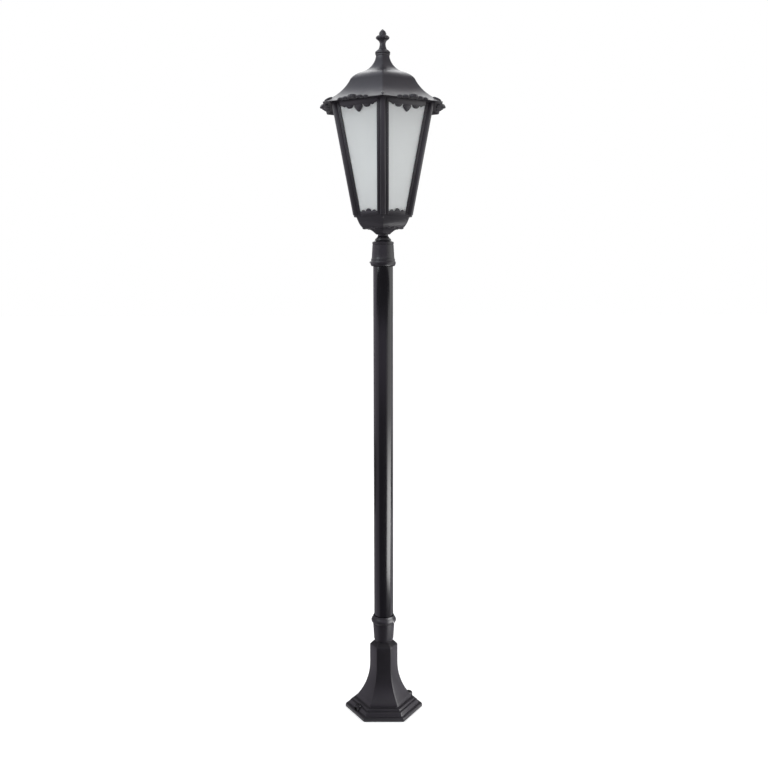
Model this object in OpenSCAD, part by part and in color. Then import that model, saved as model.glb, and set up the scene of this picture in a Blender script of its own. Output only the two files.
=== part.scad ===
// Garden lamp post: hexagonal lantern on a round pole and a flared hexagonal base.
// Millimetres, +Z up, origin on the ground under the axis.
// The lantern's flats face +X and -X, the base's flats face +Y and -Y.

/* [Base] */
// Radius from the axis to a corner of the foot
foot_r = 124; // [120:1:150]
// Height of the upright edge of the foot
foot_edge_h = 9; // [6:0.5:10]
// Radius from the axis to a corner of the column
column_r = 43.6; // [42:0.2:50]
// Width of the steps of the foot, from its corner to the sweep
step_w = 38; // [36:0.5:44]
// Height where the sweep leaves the column
sweep_top_z = 150; // [140:1:155]
// Height where the sweep meets the foot
sweep_low_z = 40; // [38:1:46]
// Height of the whole base casting
base_h = 222; // [215:1:260]
// Height of the bevel under the top of the column
column_bevel_h = 12; // [8:1:14]
// Radius from the axis to a corner at the top of that bevel
column_top_r = 30.5; // [29:0.5:36]
// Wall of the base casting
base_wall = 5; // [4:0.5:7]
// Thickness of the top of the column
base_top_t = 9; // [7:0.5:14]
// Distance from each anchor hole to the edge of the foot
anchor_edge_d = 14.4; // [13.5:0.1:17]
// Diameter of each anchor hole
anchor_hole_d = 11; // [9:0.5:13]
// Width of the pocket over each anchor hole
anchor_pocket_w = 16; // [14:0.5:18]
// Width of each anchor boss
anchor_boss_w = 25; // [22:0.5:28]
// Height of each anchor boss
anchor_boss_h = 28.5; // [28:0.5:36]
// Height of the floor of each anchor pocket
anchor_floor_z = 11; // [8:0.5:14]
// Height of each anchor pocket, which opens outward under the cap of its boss
anchor_pocket_h = 13; // [12:0.5:14]

/* [Lower collar] */
// Height of the lower collar
lower_collar_h = 84; // [78:1:100]
// Radius of the lower collar at its foot
lower_collar_foot_r = 30.8; // [30.5:0.1:34]
// Radius of the lower collar under its bead
lower_collar_top_r = 33.6; // [33.4:0.1:36]
// Height from the foot of the lower collar to the seat of the pole
lower_seat_h = 36; // [30:1:44]
// Radius of the threaded spigot under the lower collar
lower_spigot_r = 17; // [14:0.5:19]
// Length of that spigot
lower_spigot_l = 26; // [24:1:32]
// Radius of the way for the wires through the lower collar
lower_way_r = 12; // [8:0.5:12]

/* [Pole] */
// Outside diameter of the pole
pole_d = 60; // [56:0.5:60]
// Wall of the pole
pole_wall = 2.5; // [1.5:0.1:4]
// Length of the pole
pole_len = 1204; // [600:1:1800]

/* [Upper collar] */
// Height of the upper collar with its spigot
upper_collar_h = 95.5; // [90:0.5:110]
// Height of that spigot, which the lantern stands on
upper_spigot_h = 6; // [4:0.5:10]
// Radius of that spigot
upper_spigot_r = 15.6; // [14:0.1:18]
// Height of the cone under the spigot
upper_cone_h = 17; // [14:0.5:20]
// Radius of the sleeve under the cone
upper_sleeve_r = 32; // [31.8:0.1:33.5]
// Radius of the sleeve over the bead
upper_bead_base_r = 33.7; // [33.5:0.1:35]
// How far the pole goes into the upper collar
upper_socket_l = 55; // [45:1:58]

/* [Beads and set screws] */
// How far each bead stands out of its collar
bead_out = 5; // [2:0.2:7]
// Height of each bead
bead_h = 21; // [16:0.5:24]
// Radius of each set screw
set_screw_r = 2.8; // [2:0.1:3.5]
// How far each set screw stands out of its bead
set_screw_out = 1.6; // [0.5:0.1:3]

/* [Lantern frame] */
// Distance from the axis to the outside of the glass at the foot of the ribs
glass_low_a = 80.4; // [76:0.2:86]
// Distance from the axis to the outside of the glass at the top of the ribs
glass_top_a = 140; // [130:0.5:150]
// Height of the ribs
rib_h = 319; // [260:0.5:400]
// Width of each side of a rib, measured on the glass
rib_side_w = 17.8; // [15:0.1:20]
// Thickness of the outer part of a rib
rib_t = 4; // [3:0.2:5]
// Half width of the raised bead on a rib
rib_bead_w = 7.5; // [5:0.1:9]
// Height of the raised bead on a rib
rib_bead_h = 3; // [1.5:0.1:4]
// Thickness of the web of a rib between two panes
rib_web_t = 8; // [7.5:0.5:10]
// Width of each inner side of a rib
rib_inner_w = 12; // [10:0.5:14]
// Thickness of the inner part of a rib
rib_inner_t = 3; // [2:0.2:4]
// How far the ribs reach down over the bowl
rib_overlap = 1; // [0.5:0.5:4]
// Thickness of a pane
pane_t = 3; // [2:0.5:4]
// Thickness of the ring of the top frame
ring_t = 6; // [5:0.5:9]
// Distance from the axis to the inside of that ring
ring_inner_a = 118; // [110:1:122]
// Thickness of the valances and of the rim of the bowl
trim_t = 3; // [2:0.5:3.5]

/* [Valance and rim] */
// Height of the plain band of a valance
valance_h = 12; // [8:0.5:18]
// Radius of the middle lobe of a valance
valance_mid_r = 13.5; // [10:0.5:15]
// Radius of each side lobe of a valance
valance_side_r = 10.5; // [8:0.5:12]
// Distance from the middle of a valance to each side lobe
valance_side_x = 29.5; // [26:0.5:32]
// How far the middle lobe hangs below the plain band
valance_mid_drop = 19; // [12:0.5:24]
// How far each side lobe hangs below the plain band
valance_side_drop = 9; // [5:0.5:10]
// Height of the rim band of the bowl over the ledge of the panes
rim_h = 9.5; // [6:0.5:14]
// Radius of the middle hump on the rim
rim_mid_r = 9; // [6:0.5:10]
// Radius of each side hump on the rim
rim_side_r = 6.5; // [5:0.5:8]
// Distance from the middle of the rim to each side hump
rim_side_x = 18.5; // [16:0.5:20]
// Height of the middle hump over the rim band
rim_mid_rise = 8; // [4:0.5:9]
// Height of each side hump over the rim band
rim_side_rise = 4; // [2:0.5:5]

/* [Bowl] */
// Height of the flared neck of the bowl
neck_h = 17.5; // [14:0.5:24]
// Distance from the axis to a flat at the foot of the neck
neck_a = 20.2; // [19:0.2:24]
// Height of the body of the bowl, from its underside to the ledge of the panes
bowl_h = 38; // [34:0.5:46]
// Distance from the axis to a flat at the underside of the bowl
bowl_low_a = 58.5; // [56:0.5:64]
// Wall of the bowl
bowl_wall = 3.5; // [3:0.25:4.5]
// Thickness of the floor of the bowl
bowl_floor_t = 4.5; // [3.5:0.25:6]

/* [Roof] */
// Distance from the axis to the edge of the brim
brim_a = 172.8; // [168:0.2:185]
// Height of the upright lip of the brim
brim_lip_h = 5; // [3:0.5:7]
// Height of the roof
roof_h = 146; // [140:1:165]
// Distance from the axis to a flat at the top of the roof
roof_top_a = 19.6; // [18:0.2:23]
// Distance from the axis to the crease under the dome
crease_a = 97; // [94:0.5:102]
// Height of that crease over the brim
crease_h = 65.5; // [62:0.5:70]
// Distance from the axis to the end of the shoulder
shoulder_a = 60; // [56:0.5:64]
// Height of the end of the shoulder over the brim
shoulder_h = 93.6; // [91:0.2:98]
// Wall of the roof
roof_wall = 3.5; // [2.5:0.25:4]
// How far the brim hangs below the top of the ring
brim_drop = 4; // [2:0.5:6]
// How far the middle of an ornament stands out of the brim
ornament_out = 15; // [12:0.5:20]
// Radius of the middle lobe of an ornament
ornament_r = 15; // [13:0.5:18]

/* [Finial] */
// Height of the finial
finial_h = 78; // [70:1:100]
// Distance from the axis to a flat of its skirt
finial_skirt_a = 21.2; // [20.8:0.1:25]
// Radius of its disc
finial_disc_r = 19.8; // [16:0.2:24]
// Radius of its stem
finial_stem_r = 8.3; // [7:0.1:10]
// Radius of the bud over the disc
finial_bud_r = 10.4; // [8:0.2:12]

/* [Inside] */
// Radius of the rod that holds the roof
rod_r = 4; // [3:0.5:5]
// Radius of the threaded tube between upper collar and bowl
neck_tube_r = 10; // [8:0.5:11]
// Wall of that tube
neck_tube_wall = 2.5; // [1.5:0.25:3]
// Width of the nuts on that tube across their flats
neck_nut_w = 30; // [28:1:34]
// Thickness of the nuts on that tube
neck_nut_t = 8; // [6:0.5:8]
// Thickness of the steel strap and of the lamp bracket
strap_t = 3; // [2:0.5:4]
// Width of the steel strap and of the lamp bracket
strap_w = 24; // [20:1:30]
// Height of the lamp bracket over the floor of the bowl
bracket_h = 34; // [24:1:60]
// Half length of the lamp bracket's top
bracket_x = 30; // [28:1:32]
// Radius of the lamp holder
holder_r = 20; // [18:0.5:24]
// Height of the lamp holder
holder_h = 46; // [40:1:60]
// Radius of the screw cap of the bulb
bulb_cap_r = 13; // [12:0.5:13.5]
// Length of the screw cap of the bulb
bulb_cap_l = 26; // [22:1:30]
// Radius of the bulb
bulb_r = 30; // [25:1:40]
// Length of the bulb over its cap
bulb_l = 86; // [70:1:120]

/* [Fasteners] */
// Radius of the small screws
screw_r = 2; // [1.5:0.1:2.5]
// Length of the small screws under the head
screw_l = 16; // [14:1:20]
// Gap between pieces that fit together
fit = 0.2; // [0.1:0.05:0.4]

/* [Hidden] */
$fn = 48;
// Ratio of a hexagon's flat distance to its corner radius
hex = cos(30);
// More than any piece reaches sideways
wide = 3 * (foot_r + brim_a);
// Height of each stage over the ground
collar_z = base_h;
pole_z = collar_z + lower_seat_h;
upper_z = pole_z + pole_len - upper_socket_l;
neck_z = upper_z + upper_collar_h;
bowl_z = neck_z + neck_h;
ledge_z = bowl_z + bowl_h;
rib_z = ledge_z - rib_overlap;
frame_z = rib_z + rib_h;
ring_z = frame_z + ring_t;
brim_z = ring_z - brim_drop;
roof_top_z = brim_z + roof_h;
// Slope of the glass, of the corners, and the turn of a rib's sides from square
glass_tilt = atan((glass_top_a - glass_low_a) / rib_h);
corner_tilt = atan((glass_top_a - glass_low_a) / hex / rib_h);
side_turn = acos(0.5 * pow(cos(glass_tilt), 2) + pow(sin(glass_tilt), 2)) / 2;
slot_t = pane_t + 2 * fit;
rib_apex = rib_t / cos(side_turn);
// Where the bore for a rib's screws runs, inward of the glass corner
port_p = -1.5;
// The same for the lower screws, which stay inside the corners of the bowl
port_low_p = -4.4;
// Middle of each bead over the foot of its collar
lower_bead_z = lower_collar_h - 15;
upper_bead_z = 12;
pole_r = pole_d / 2;
socket_r = pole_r + fit;
screw_head_r = 1.5 * screw_r;
screw_head_t = 1.3 * screw_r;
nut_w = 3.25 * rod_r;
nut_t = 1.6 * rod_r;
// Distance from the axis to the outside of the ring, which covers the ribs
ring_outer_a = glass_top_a + (rib_apex + rib_bead_h) / cos(corner_tilt) * hex + 1;
roof_bore_r = rod_r + fit;
seat_a = ring_inner_a + 6;
strap_x = ring_inner_a + 12;

// Point on a cubic curve, and the whole curve in n steps
function curve_point(p, t) = pow(1 - t, 3) * p[0] + 3 * pow(1 - t, 2) * t * p[1]
    + 3 * (1 - t) * pow(t, 2) * p[2] + pow(t, 3) * p[3];
function curve(p, n) = [for (i = [0:n]) curve_point(p, i / n)];
// A line of points moved to its left by d
function moved(line, d) = [for (i = [0:len(line) - 1])
    let (a = line[max(i - 1, 0)], b = line[min(i + 1, len(line) - 1)], t = (b - a) / norm(b - a))
    line[i] + d * [-t[1], t[0]]];
// Points with corner radii turned into points with flat distances
function to_flats(line) = [for (p = line) [p[0] * hex, p[1]]];
function mirrored(line) = [for (i = [len(line) - 1:-1:0]) [-line[i][0], line[i][1]]];
function below(line, z) = [for (p = line) if (p[1] < z) p];
function above(line, z) = [for (p = line) if (p[1] > z) p];
// Half wave that stands out of radius r between two heights
function bulge(r, z0, z1, out, n) = [for (i = [0:n]) [r + out * sin(180 * i / n), z0 + (z1 - z0) * i / n]];

// Solid with a hexagonal section whose flat distance follows a line of [distance, height], bottom first
module hex_vault(line) {
    intersection() {
        vault_pair(line, 60, -60);
        vault_pair(line, 30, 30);
        vault_pair(line, 60, 60);
    }
}
// Two opposite sides, turned in two steps so that all three pairs are rounded alike and meet exactly
module vault_pair(line, first, second) {
    rotate(first) rotate(second) rotate([90, 0, 0]) linear_extrude(wide, center = true)
        polygon(concat(line, mirrored(line)));
}
module hex_ring(outer_a, inner_a, h) {
    difference() {
        rotate(30) cylinder(r = outer_a / hex, h = h, $fn = 6);
        translate([0, 0, -1]) rotate(30) cylinder(r = inner_a / hex, h = h + 2, $fn = 6);
    }
}
// Hexagonal nut standing on z = 0
module nut(w, bore_r, h) {
    difference() {
        cylinder(r = w / 2 / hex, h = h, $fn = 6);
        translate([0, 0, -1]) cylinder(r = bore_r, h = h + 2);
    }
}
// Screw that points up, with the underside of its head on z = 0
module screw() {
    translate([0, 0, -screw_head_t]) cylinder(r = screw_head_r, h = screw_head_t);
    cylinder(r = screw_r, h = screw_l);
}
// Frame of one face of the lantern: x across, y up the slope, z outward, origin on the glass at the top
module on_face(i) {
    rotate(60 * i) translate([glass_top_a, 0, frame_z]) rotate([0, glass_tilt, 0]) rotate([90, 0, 90])
        children();
}
// Frame of one corner of the lantern: z up along the corner of the glass, x outward, at height h
module on_corner(i, h) {
    rotate(60 * i - 30) translate([glass_low_a / hex, 0, rib_z]) rotate([0, corner_tilt, 0])
        translate([0, 0, (h - rib_z) / cos(corner_tilt)]) children();
}
// Half width of a face at slope position y, less a gap square to the corner line
side_slope = atan(sin(glass_tilt) * tan(30));
function face_x(y, gap) = (glass_top_a + y * sin(glass_tilt)) * tan(30) - gap / cos(side_slope);
function slope_y(z) = (z - frame_z) / cos(glass_tilt);

// Distance from the axis to each anchor hole
anchor_ring_r = foot_r * hex - anchor_edge_d;
// Radius of the hollow sweep, which leaves the column upright and ends at the steps
sweep_h = sweep_top_z - sweep_low_z;
sweep_out = foot_r - step_w - column_r;
sweep_r = (pow(sweep_h, 2) + pow(sweep_out, 2)) / 2 / sweep_out;
// Outlines of the base as [flat distance, height]
sweep_line = to_flats([for (i = [0:14]) let (z = sweep_low_z + sweep_h * i / 14)
    [column_r + sweep_r - sqrt(pow(sweep_r, 2) - pow(sweep_top_z - z, 2)), z]]);
step_line = to_flats([[foot_r, 0], [foot_r, foot_edge_h], [foot_r - 2.5, foot_edge_h + 3],
    [foot_r - 7, foot_edge_h + 4], [foot_r - 10.5, foot_edge_h + 3.4], [foot_r - 15.5, foot_edge_h + 13],
    [foot_r - 18, foot_edge_h + 15.5], [foot_r - 22, foot_edge_h + 16], [foot_r - 23.5, foot_edge_h + 20],
    [foot_r - 26, foot_edge_h + 22], [foot_r - 34, foot_edge_h + 23]]);
top_line = to_flats([[column_r, base_h - column_bevel_h], [column_top_r, base_h]]);
inner_foot_a = foot_r * hex - 1.6 * base_wall;
inner_foot_line = [[inner_foot_a, -1], [inner_foot_a, foot_edge_h - base_wall],
    [sweep_line[0][0] - 2, sweep_low_z - 2.5 * base_wall]];
inner_sweep_line = moved(sweep_line, base_wall);
inner_top_line = [[column_r * hex - base_wall, base_h - base_top_t]];

module base() {
    color("#2c2a2e") difference() {
        union() {
            difference() {
                rotate(30) hex_vault(concat(step_line, sweep_line, top_line));
                rotate(30) hex_vault(concat(inner_foot_line, inner_sweep_line, inner_top_line));
            }
            for (turn = [30, 210]) rotate(turn) translate([anchor_ring_r, 0, 0])
                cylinder(d = anchor_boss_w, h = anchor_boss_h);
        }
        for (turn = [30, 210]) rotate(turn) translate([anchor_ring_r, 0, 0]) {
            translate([0, 0, -1]) cylinder(d = anchor_hole_d, h = anchor_boss_h + 2);
            translate([0, 0, anchor_floor_z]) cylinder(d = anchor_pocket_w, h = anchor_pocket_h);
            translate([0, -anchor_pocket_w / 2, anchor_floor_z])
                cube([foot_r, anchor_pocket_w, anchor_pocket_h]);
        }
        translate([0, 0, base_h - base_top_t - 1]) cylinder(r = lower_spigot_r + fit, h = base_top_t + 2);
    }
}
module lower_lock_nut() {
    color("#b9b9b6") translate([0, 0, base_h - base_top_t - neck_nut_t])
        nut(2 * (lower_spigot_r + 5), lower_spigot_r + fit / 2, neck_nut_t);
}
module lower_collar() {
    foot = lower_collar_foot_r;
    outline = concat([[0, -lower_spigot_l], [lower_spigot_r, -lower_spigot_l], [lower_spigot_r, 0],
        [foot - 2.6, 0], [foot - 2.4, 2.5]],
        curve([[foot - 2.2, 4], [foot - 1, 5], [foot - 0.2, 6.5], [foot, 9]], 4),
        bulge(lower_collar_top_r, lower_bead_z - bead_h / 2, lower_bead_z + bead_h / 2, bead_out + 1, 12),
        [[lower_collar_top_r, lower_collar_h], [0, lower_collar_h]]);
    color("#262428") translate([0, 0, collar_z]) difference() {
        rotate_extrude() polygon(outline);
        translate([0, 0, lower_seat_h]) cylinder(r = socket_r, h = lower_collar_h);
        translate([0, 0, -lower_spigot_l - 1]) cylinder(r = lower_way_r, h = lower_collar_h);
        set_screw_bores(lower_bead_z, lower_screw_turns);
    }
}
// Turns of the set screws about the axis
lower_screw_turns = [-39, 51];
upper_screw_turns = [183, 93];
module set_screw_bores(z, turns) {
    for (turn = turns) rotate(turn) translate([socket_r - 1, 0, z]) rotate([0, 90, 0])
        cylinder(r = set_screw_r + fit / 2, h = pole_d);
}
module set_screws(z, tip_r, turns) {
    for (turn = turns) rotate(turn) translate([tip_r, 0, z]) rotate([0, 90, 0]) difference() {
        cylinder(r = set_screw_r, h = set_screw_l);
        translate([0, 0, set_screw_l - set_screw_r]) cylinder(r = set_screw_r * 0.55, h = pole_d, $fn = 6);
    }
}
set_screw_l = lower_collar_top_r + bead_out + 1 + set_screw_out - pole_r - fit;
module lower_set_screws() {
    color("#b4b4b2") set_screws(collar_z + lower_bead_z, pole_r + fit, lower_screw_turns);
}
module pole() {
    color("#201f23") translate([0, 0, pole_z]) difference() {
        cylinder(r = pole_r, h = pole_len);
        translate([0, 0, -1]) cylinder(r = pole_r - pole_wall, h = pole_len + 2);
    }
}
// Height over the foot of the upper collar where its solid top begins
upper_roof_z = upper_collar_h - upper_spigot_h - upper_cone_h + 4;
module upper_collar() {
    cone_z = upper_collar_h - upper_spigot_h;
    outline = concat([[0, 0]],
        bulge(upper_bead_base_r, upper_bead_z - 12, upper_bead_z - 12 + bead_h, bead_out - 1, 12),
        [[upper_sleeve_r, cone_z - upper_cone_h - 1]],
        curve([[upper_sleeve_r, cone_z - upper_cone_h + 1], [upper_sleeve_r - 1, cone_z - upper_cone_h + 5],
            [upper_spigot_r + 9, cone_z - 5], [upper_spigot_r + 1, cone_z]], 6),
        [[upper_spigot_r, cone_z + 0.6], [upper_spigot_r, upper_collar_h], [0, upper_collar_h]]);
    color("#3d3b40") translate([0, 0, upper_z]) difference() {
        rotate_extrude() polygon(outline);
        translate([0, 0, -1]) cylinder(r = socket_r, h = upper_socket_l + 1);
        translate([0, 0, upper_socket_l - 1])
            cylinder(r = neck_nut_w / 2 / hex + 2, h = upper_roof_z - upper_socket_l + 1);
        cylinder(r = neck_tube_r + fit, h = upper_collar_h + 1);
        set_screw_bores(upper_bead_z, upper_screw_turns);
    }
}
module upper_set_screws() {
    color("#b4b4b2") set_screws(upper_z + upper_bead_z, pole_r + fit, upper_screw_turns);
}
neck_tube_z = upper_z + upper_roof_z - neck_nut_t - 3;
floor_z = bowl_z + bowl_floor_t;
module neck_tube() {
    color("#b9b9b6") translate([0, 0, neck_tube_z]) difference() {
        cylinder(r = neck_tube_r, h = floor_z + neck_nut_t + 4 - neck_tube_z);
        translate([0, 0, -1]) cylinder(r = neck_tube_r - neck_tube_wall, h = floor_z);
    }
}
module neck_nuts() {
    color("#c2c2bf") {
        for (z = [upper_z + upper_roof_z - neck_nut_t, floor_z]) translate([0, 0, z])
            nut(neck_nut_w, neck_tube_r + fit / 2, neck_nut_t);
    }
}

// Outlines of the bowl as [flat distance, height over the foot of the neck]
ledge_a = glass_low_a + rib_overlap * tan(glass_tilt) - fit;
bowl_wall_line = curve([[bowl_low_a, neck_h], [bowl_low_a + 14, neck_h + 12],
    [ledge_a - 2.3, neck_h + bowl_h - 12], [ledge_a, neck_h + bowl_h]], 10);
bowl_line = concat(
    curve([[neck_a, 0], [neck_a + 3, 5.5], [neck_a + 14, neck_h - 1.5], [bowl_low_a - 12, neck_h]], 8),
    bowl_wall_line);
bowl_inner_line = concat([[bowl_low_a - 3, neck_h + bowl_floor_t]],
    above(moved(bowl_wall_line, bowl_wall), neck_h + bowl_floor_t + 1),
    [[ledge_a - bowl_wall + 0.3, neck_h + bowl_h + 5]]);
// How far the rim band reaches down behind the foot of the ribs
rim_root_h = 3;
// Metal between the head of a lower rib screw and the ledge, and the radius of the lug round the screw
lug_t = 8;
lug_r = 7;
bracket_foot_x = bracket_x + 10;
// Scallops under the edge of the bowl: place along the edge, radius, drop
scallops = [[-17, 5.5, 1.5], [0, 7, 2.5], [17, 5.5, 1.5]];
// Plain strip of a face between two ribs, between two places on the slope
module band(low, high) {
    gap = rib_side_w + fit;
    polygon([[-face_x(low, gap), low], [face_x(low, gap), low], [face_x(high, gap), high],
        [-face_x(high, gap), high]]);
}
module rim_band() {
    high = slope_y(ledge_z + rim_h);
    union() {
        band(slope_y(ledge_z - rim_root_h), high);
        translate([0, high + rim_mid_rise - rim_mid_r]) circle(r = rim_mid_r);
        for (side = [-1, 1]) translate([side * rim_side_x, high + rim_side_rise - rim_side_r])
            circle(r = rim_side_r);
    }
}
module bowl() {
    root_low = slope_y(ledge_z - rim_root_h);
    color("#35353a") difference() {
        union() {
            translate([0, 0, neck_z]) difference() {
                hex_vault(bowl_line);
                hex_vault(bowl_inner_line);
            }
            for (i = [0:5]) {
                on_face(i) translate([0, 0, fit]) linear_extrude(trim_t) rim_band();
                on_face(i) translate([0, 0, -bowl_wall / 2]) linear_extrude(bowl_wall / 2 + 2 * fit)
                    band(root_low, root_low + rim_root_h - 2 * fit);
                for (lobe = scallops) rotate(60 * i)
                    translate([bowl_low_a - 3, lobe[0], bowl_z - lobe[2]])
                        cylinder(r = lobe[1], h = lobe[2] + 2);
            }
            // Lugs in the corners for the screws of the ribs
            intersection() {
                translate([0, 0, neck_z]) hex_vault(bowl_line);
                for (i = [0:5]) on_corner(i, ledge_z) translate([port_low_p - 1, 0, -lug_t - 6])
                    cylinder(r = lug_r, h = lug_t + 12);
            }
        }
        translate([0, 0, ledge_z]) hex_ring(ledge_a + fit / 2, 1, rim_h + rib_h);
        translate([0, 0, neck_z - 1]) cylinder(r = neck_tube_r + fit, h = neck_h + bowl_floor_t + 2);
        for (i = [0:5]) on_corner(i, ledge_z) translate([port_low_p, 0, -20]) {
            cylinder(r = screw_r + fit, h = 40);
            cylinder(r = screw_head_r + fit, h = 20 - lug_t);
        }
        for (side = [-1, 1]) translate([side * bracket_foot_x, 0, bowl_z - 1])
            cylinder(r = screw_r + fit / 2, h = bowl_floor_t + 2);
    }
}

// Point beside a rib's corner: s along its side, out square to it
function beside(s, out) = [out * cos(side_turn) - s * sin(side_turn),
    s * cos(side_turn) + out * sin(side_turn)];
function web_s(out) = (rib_web_t / 2 - out * sin(side_turn)) / cos(side_turn);
rib_half = [[rib_apex + rib_bead_h, 0], [rib_apex + rib_bead_h - 0.4, rib_bead_w * 0.5],
    [rib_apex + rib_bead_h - 1.6, rib_bead_w * 0.85], beside(rib_bead_w * 1.05, rib_t + 0.2),
    beside(rib_bead_w * 1.15, rib_t - 0.7), beside(rib_bead_w * 1.35, rib_t - 0.7),
    beside(rib_bead_w * 1.45, rib_t), beside(rib_side_w - 1, rib_t), beside(rib_side_w, rib_t - 1),
    beside(rib_side_w, 0), beside(web_s(0), 0), beside(web_s(-slot_t), -slot_t),
    beside(rib_inner_w, -slot_t), beside(rib_inner_w, -slot_t - rib_inner_t),
    [-(slot_t + rib_inner_t) / cos(side_turn), 0]];
rib_outline = concat(rib_half, [for (i = [len(rib_half) - 2:-1:1]) [rib_half[i][0], -rib_half[i][1]]]);
module rib(i) {
    color("#3b3a3f") difference() {
        intersection() {
            on_corner(i, rib_z) translate([0, 0, -20]) linear_extrude(rib_h / cos(corner_tilt) + 40)
                polygon(rib_outline);
            translate([-wide / 2, -wide / 2, rib_z]) cube([wide, wide, rib_h]);
        }
        // The inner part stops on the ledge of the bowl
        translate([0, 0, rib_z - 1]) rotate(30)
            cylinder(r = ledge_a / hex + fit, h = rib_overlap + 1, $fn = 6);
        on_corner(i, ledge_z) translate([port_low_p, 0, -20])
            cylinder(r = screw_r + fit / 2, h = 20 + screw_l);
        on_corner(i, frame_z) translate([port_p, 0, -screw_l])
            cylinder(r = screw_r + fit / 2, h = screw_l + 20);
    }
}
module pane(i) {
    low = slope_y(ledge_z) + fit;
    high = slope_y(frame_z - 4);
    edge = web_s(-slot_t) + 2 * fit;
    color("#c8cccb") on_face(i) translate([0, 0, -pane_t - fit]) linear_extrude(pane_t)
        polygon([[-face_x(low, edge), low], [face_x(low, edge), low], [face_x(high, edge), high],
            [-face_x(high, edge), high]]);
}
module rib_screws_lower() {
    color("#bdbdba") for (i = [0:5]) on_corner(i, ledge_z)
        translate([port_low_p, 0, -lug_t]) screw();
}
// Lift of the tilted upper screws, so that their heads rest on the level ring by an edge
upper_screw_lift = screw_head_r * tan(corner_tilt) + 0.02;
module rib_screws_upper() {
    color("#bdbdba") for (i = [0:5]) on_corner(i, ring_z)
        translate([port_p, 0, upper_screw_lift]) rotate([180, 0, 0]) screw();
}
module valance() {
    low = slope_y(frame_z - valance_h);
    difference() {
        union() {
            band(low, slope_y(frame_z + ring_t / 2));
            translate([0, low - valance_mid_drop + valance_mid_r]) circle(r = valance_mid_r);
            for (side = [-1, 1])
                translate([side * valance_side_x, low - valance_side_drop + valance_side_r])
                    circle(r = valance_side_r);
        }
        for (side = [-1, 1]) translate([side * (valance_mid_r + 3.2), low - 2.5]) circle(r = 2.4);
    }
}
module top_frame() {
    color("#38373c") difference() {
        union() {
            translate([0, 0, frame_z]) hex_ring(ring_outer_a, ring_inner_a, ring_t);
            intersection() {
                for (i = [0:5]) on_face(i) translate([0, 0, fit]) linear_extrude(trim_t) valance();
                translate([0, 0, frame_z - rib_h]) cylinder(r = wide / 2, h = rib_h + ring_t / 2);
            }
        }
        for (i = [0:5]) on_corner(i, ring_z) translate([port_p, 0, -2 * ring_t])
            cylinder(r = screw_r + fit, h = 4 * ring_t);
        for (side = [-1, 1]) translate([side * strap_screw_x, 0, frame_z - 1])
            cylinder(r = screw_r + fit / 2, h = ring_t + 2);
    }
}
strap_screw_x = ring_inner_a + 5;
module roof_strap() {
    color("#a9a9a6") translate([0, 0, frame_z - strap_t]) difference() {
        translate([-strap_x, -strap_w / 2, 0]) cube([2 * strap_x, strap_w, strap_t]);
        translate([0, 0, -1]) cylinder(r = rod_r + fit, h = strap_t + 2);
        for (side = [-1, 1]) translate([side * strap_screw_x, 0, -1])
            cylinder(r = screw_r + fit, h = strap_t + 2);
    }
}
module strap_screws() {
    color("#bdbdba") for (side = [-1, 1])
        translate([side * strap_screw_x, 0, frame_z - strap_t - screw_head_t]) union() {
            cylinder(r = screw_head_r, h = screw_head_t);
            cylinder(r = screw_r, h = screw_head_t + strap_t + ring_t - 0.5);
        }
}
rod_z = frame_z - strap_t - nut_t - 3;
rod_in = 20;
module roof_rod() {
    color("#c2c2bf") translate([0, 0, rod_z]) cylinder(r = rod_r, h = roof_top_z + rod_in - rod_z);
}
module rod_nuts() {
    color("#c2c2bf") {
        translate([0, 0, frame_z - strap_t - nut_t]) nut(nut_w, rod_r + fit / 2, nut_t);
        translate([0, 0, frame_z]) nut(nut_w, rod_r + fit / 2, nut_t);
    }
}

// Outline of the roof as [flat distance, height over the brim]
roof_line = concat([[brim_a, 0]],
    curve([[brim_a, brim_lip_h], [brim_a - 38, brim_lip_h + 6], [crease_a + 14, crease_h - 30.5],
        [crease_a, crease_h]], 12),
    curve([[crease_a - 1, crease_h + 1.7], [crease_a - 5.8, crease_h + 10.5],
        [shoulder_a + 13, shoulder_h - 5.3], [shoulder_a, shoulder_h]], 8),
    curve([[shoulder_a - 3, shoulder_h + 1.2], [shoulder_a - 22, shoulder_h + 9],
        [roof_top_a + 0.2, roof_h - 18], [roof_top_a, roof_h]], 10));
roof_inner_line = concat([[brim_a - roof_wall, -20]], below(moved(roof_line, roof_wall), roof_h - 8));
// Rounding of the corners of the roof towards its top, as [radius, height]
roof_round_line = concat([[0, 0], [brim_a / hex + 1, 0], [brim_a / hex + 1, shoulder_h - 12],
    [shoulder_a / hex + 12, shoulder_h - 4]],
    curve([[shoulder_a / hex, shoulder_h], [shoulder_a - 16, shoulder_h + 9],
        [roof_top_a + 1.6, roof_h - 18], [roof_top_a + 1.4, roof_h]], 10), [[0, roof_h]]);
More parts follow.
